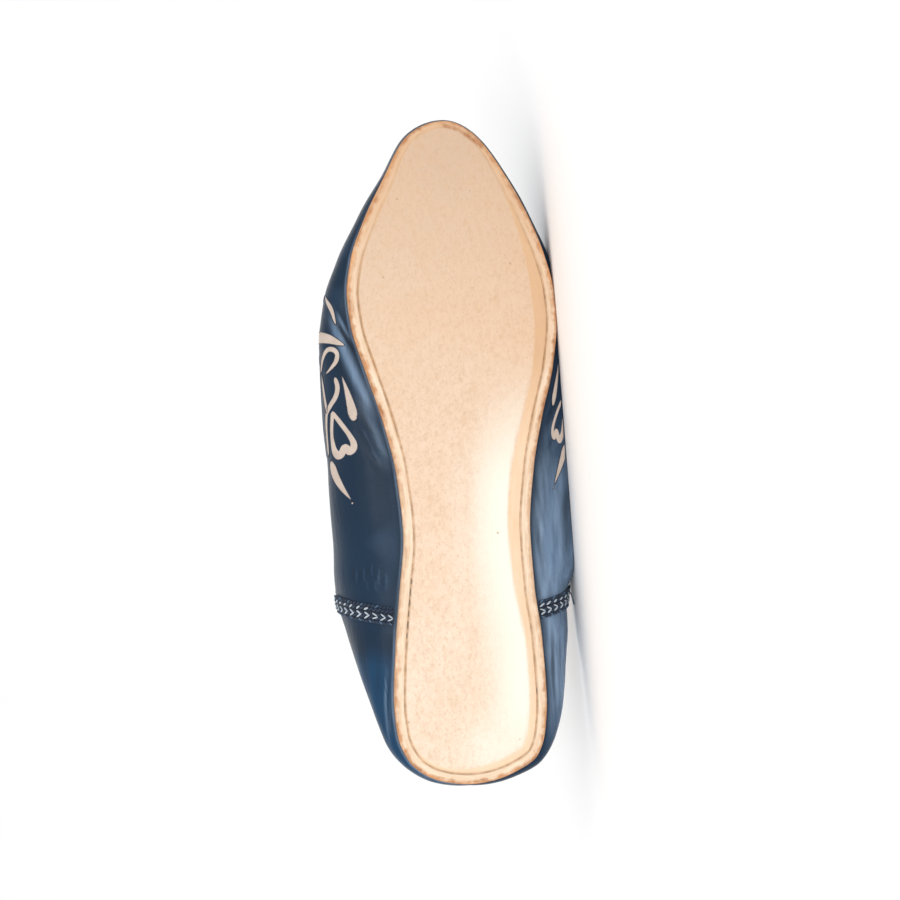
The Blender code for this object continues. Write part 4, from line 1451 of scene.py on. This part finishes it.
BRAID_THREADS = {
    # The bed's thread is darker than the navy stitches: painted shade for the gaps between them
    "bed": thread("bed_cotton", "#08111D", "#12233A", 0.75, 9.0),
    "navy": thread("navy_cotton", "#0E1F33", "#223D5A", 0.72, 9.0),
    "blue": thread("blue_cotton", "#28435F", "#5B7896", 0.72, 9.0),
    "pale": thread("pale_cotton", "#93A5B6", "#D3DAE0", 0.75, 9.0),
}


# The picture


FLOOR_HALF_WIDTH = 7.0
FLOOR_FRONT = -6.0
FLOOR_BACK = 4.6
CURVE_STEPS = 10
CURVE_STEP = 0.14
BACKDROP_HIGH = 2.5


def make_floor():
    """A sheet of pale paper that runs back and curves up behind the slipper."""
    pick()
    bpy.ops.mesh.primitive_plane_add(size=1.0)
    floor = bpy.context.object
    floor.name = "floor"
    corners = [(x, y, 0.0) for y in (FLOOR_FRONT, FLOOR_BACK) for x in (-FLOOR_HALF_WIDTH, FLOOR_HALF_WIDTH)]
    floor.data.vertices.foreach_set("co", np.ravel(corners))
    bpy.ops.object.mode_set(mode="EDIT")
    bpy.ops.mesh.select_mode(type="EDGE")
    bpy.ops.mesh.select_all(action="DESELECT")
    bpy.ops.object.mode_set(mode="OBJECT")
    for rim in floor.data.edges:
        rim.select = all(floor.data.vertices[v].co.y > 0.0 for v in rim.vertices)
    bpy.ops.object.mode_set(mode="EDIT")
    for turn in range(CURVE_STEPS):
        angle = math.pi / 2.0 * (turn + 0.5) / CURVE_STEPS
        step = (0.0, CURVE_STEP * math.cos(angle), CURVE_STEP * math.sin(angle))
        bpy.ops.mesh.extrude_region_move(TRANSFORM_OT_translate={"value": step})
    bpy.ops.mesh.extrude_region_move(TRANSFORM_OT_translate={"value": (0.0, 0.0, BACKDROP_HIGH)})
    bpy.ops.object.mode_set(mode="OBJECT")
    floor.data.materials.append(studio_floor())
    smooth(floor, 40.0)


def make_eye():
    """The camera looks at the sole, a little from above the inner side, rolled so that the toe points up."""
    forward = Vector((0.0, math.cos(EYE_LIFT), -math.sin(EYE_LIFT)))
    level_up = Vector((1.0, 0.0, 0.0))
    level_right = forward.cross(level_up)
    right = level_right * math.cos(EYE_ROLL) - level_up * math.sin(EYE_ROLL)
    up = level_up * math.cos(EYE_ROLL) + level_right * math.sin(EYE_ROLL)
    middle = Vector(placed(np.array((LENGTH / 2.0, 0.0, 0.0))))
    spot = middle + right * AIM_RIGHT + up * AIM_UP - forward * EYE_DISTANCE
    eye = bpy.data.objects.new("camera", bpy.data.cameras.new("camera"))
    bpy.context.collection.objects.link(eye)
    eye.data.sensor_width = SENSOR_WIDTH
    eye.data.lens = SENSOR_WIDTH * EYE_DISTANCE / PICTURE_WIDTH
    turn = Matrix((right, up, -forward)).transposed()
    eye.matrix_world = Matrix.Translation(spot) @ turn.to_4x4()
    bpy.context.scene.camera = eye


# Each light: its name, place, width, height and power
LIGHTS = (
    ("strip_softbox", (-0.36, -2.4, 0.75), 0.35, 1.1, 9.0),
    ("heel_softbox", (-1.6, -1.8, 0.9), 0.9, 0.9, 4.5),
)
SURROUND = 1.04
LIGHT_AIM = (0.0, 0.0, 0.04)


def make_lights():
    """Large soft boxes and an even pale surround."""
    for name, place, wide, high, watts in LIGHTS:
        light = bpy.data.objects.new(name, bpy.data.lights.new(name, "AREA"))
        bpy.context.collection.objects.link(light)
        light.data.shape = "RECTANGLE"
        light.data.size = wide
        light.data.size_y = high
        light.data.energy = watts
        light.location = place
        light.rotation_euler = (Vector(place) - Vector(LIGHT_AIM)).to_track_quat("Z", "Y").to_euler()
    world = bpy.data.worlds.new("surround")
    world.use_nodes = True
    backdrop = world.node_tree.nodes["Background"]
    backdrop.inputs["Color"].default_value = linear("#FFFFFF")
    backdrop.inputs["Strength"].default_value = SURROUND
    bpy.context.scene.world = world
    bpy.context.scene.view_settings.view_transform = "Standard"


random.seed(7)
make_eye()
make_lights()
make_floor()
make_upper()
for side in SIDES:
    make_cutwork(side)
    make_braid(side)
make_collar_cord()
make_outsole()
make_sole_stitches()
make_sock()
make_loose_end()
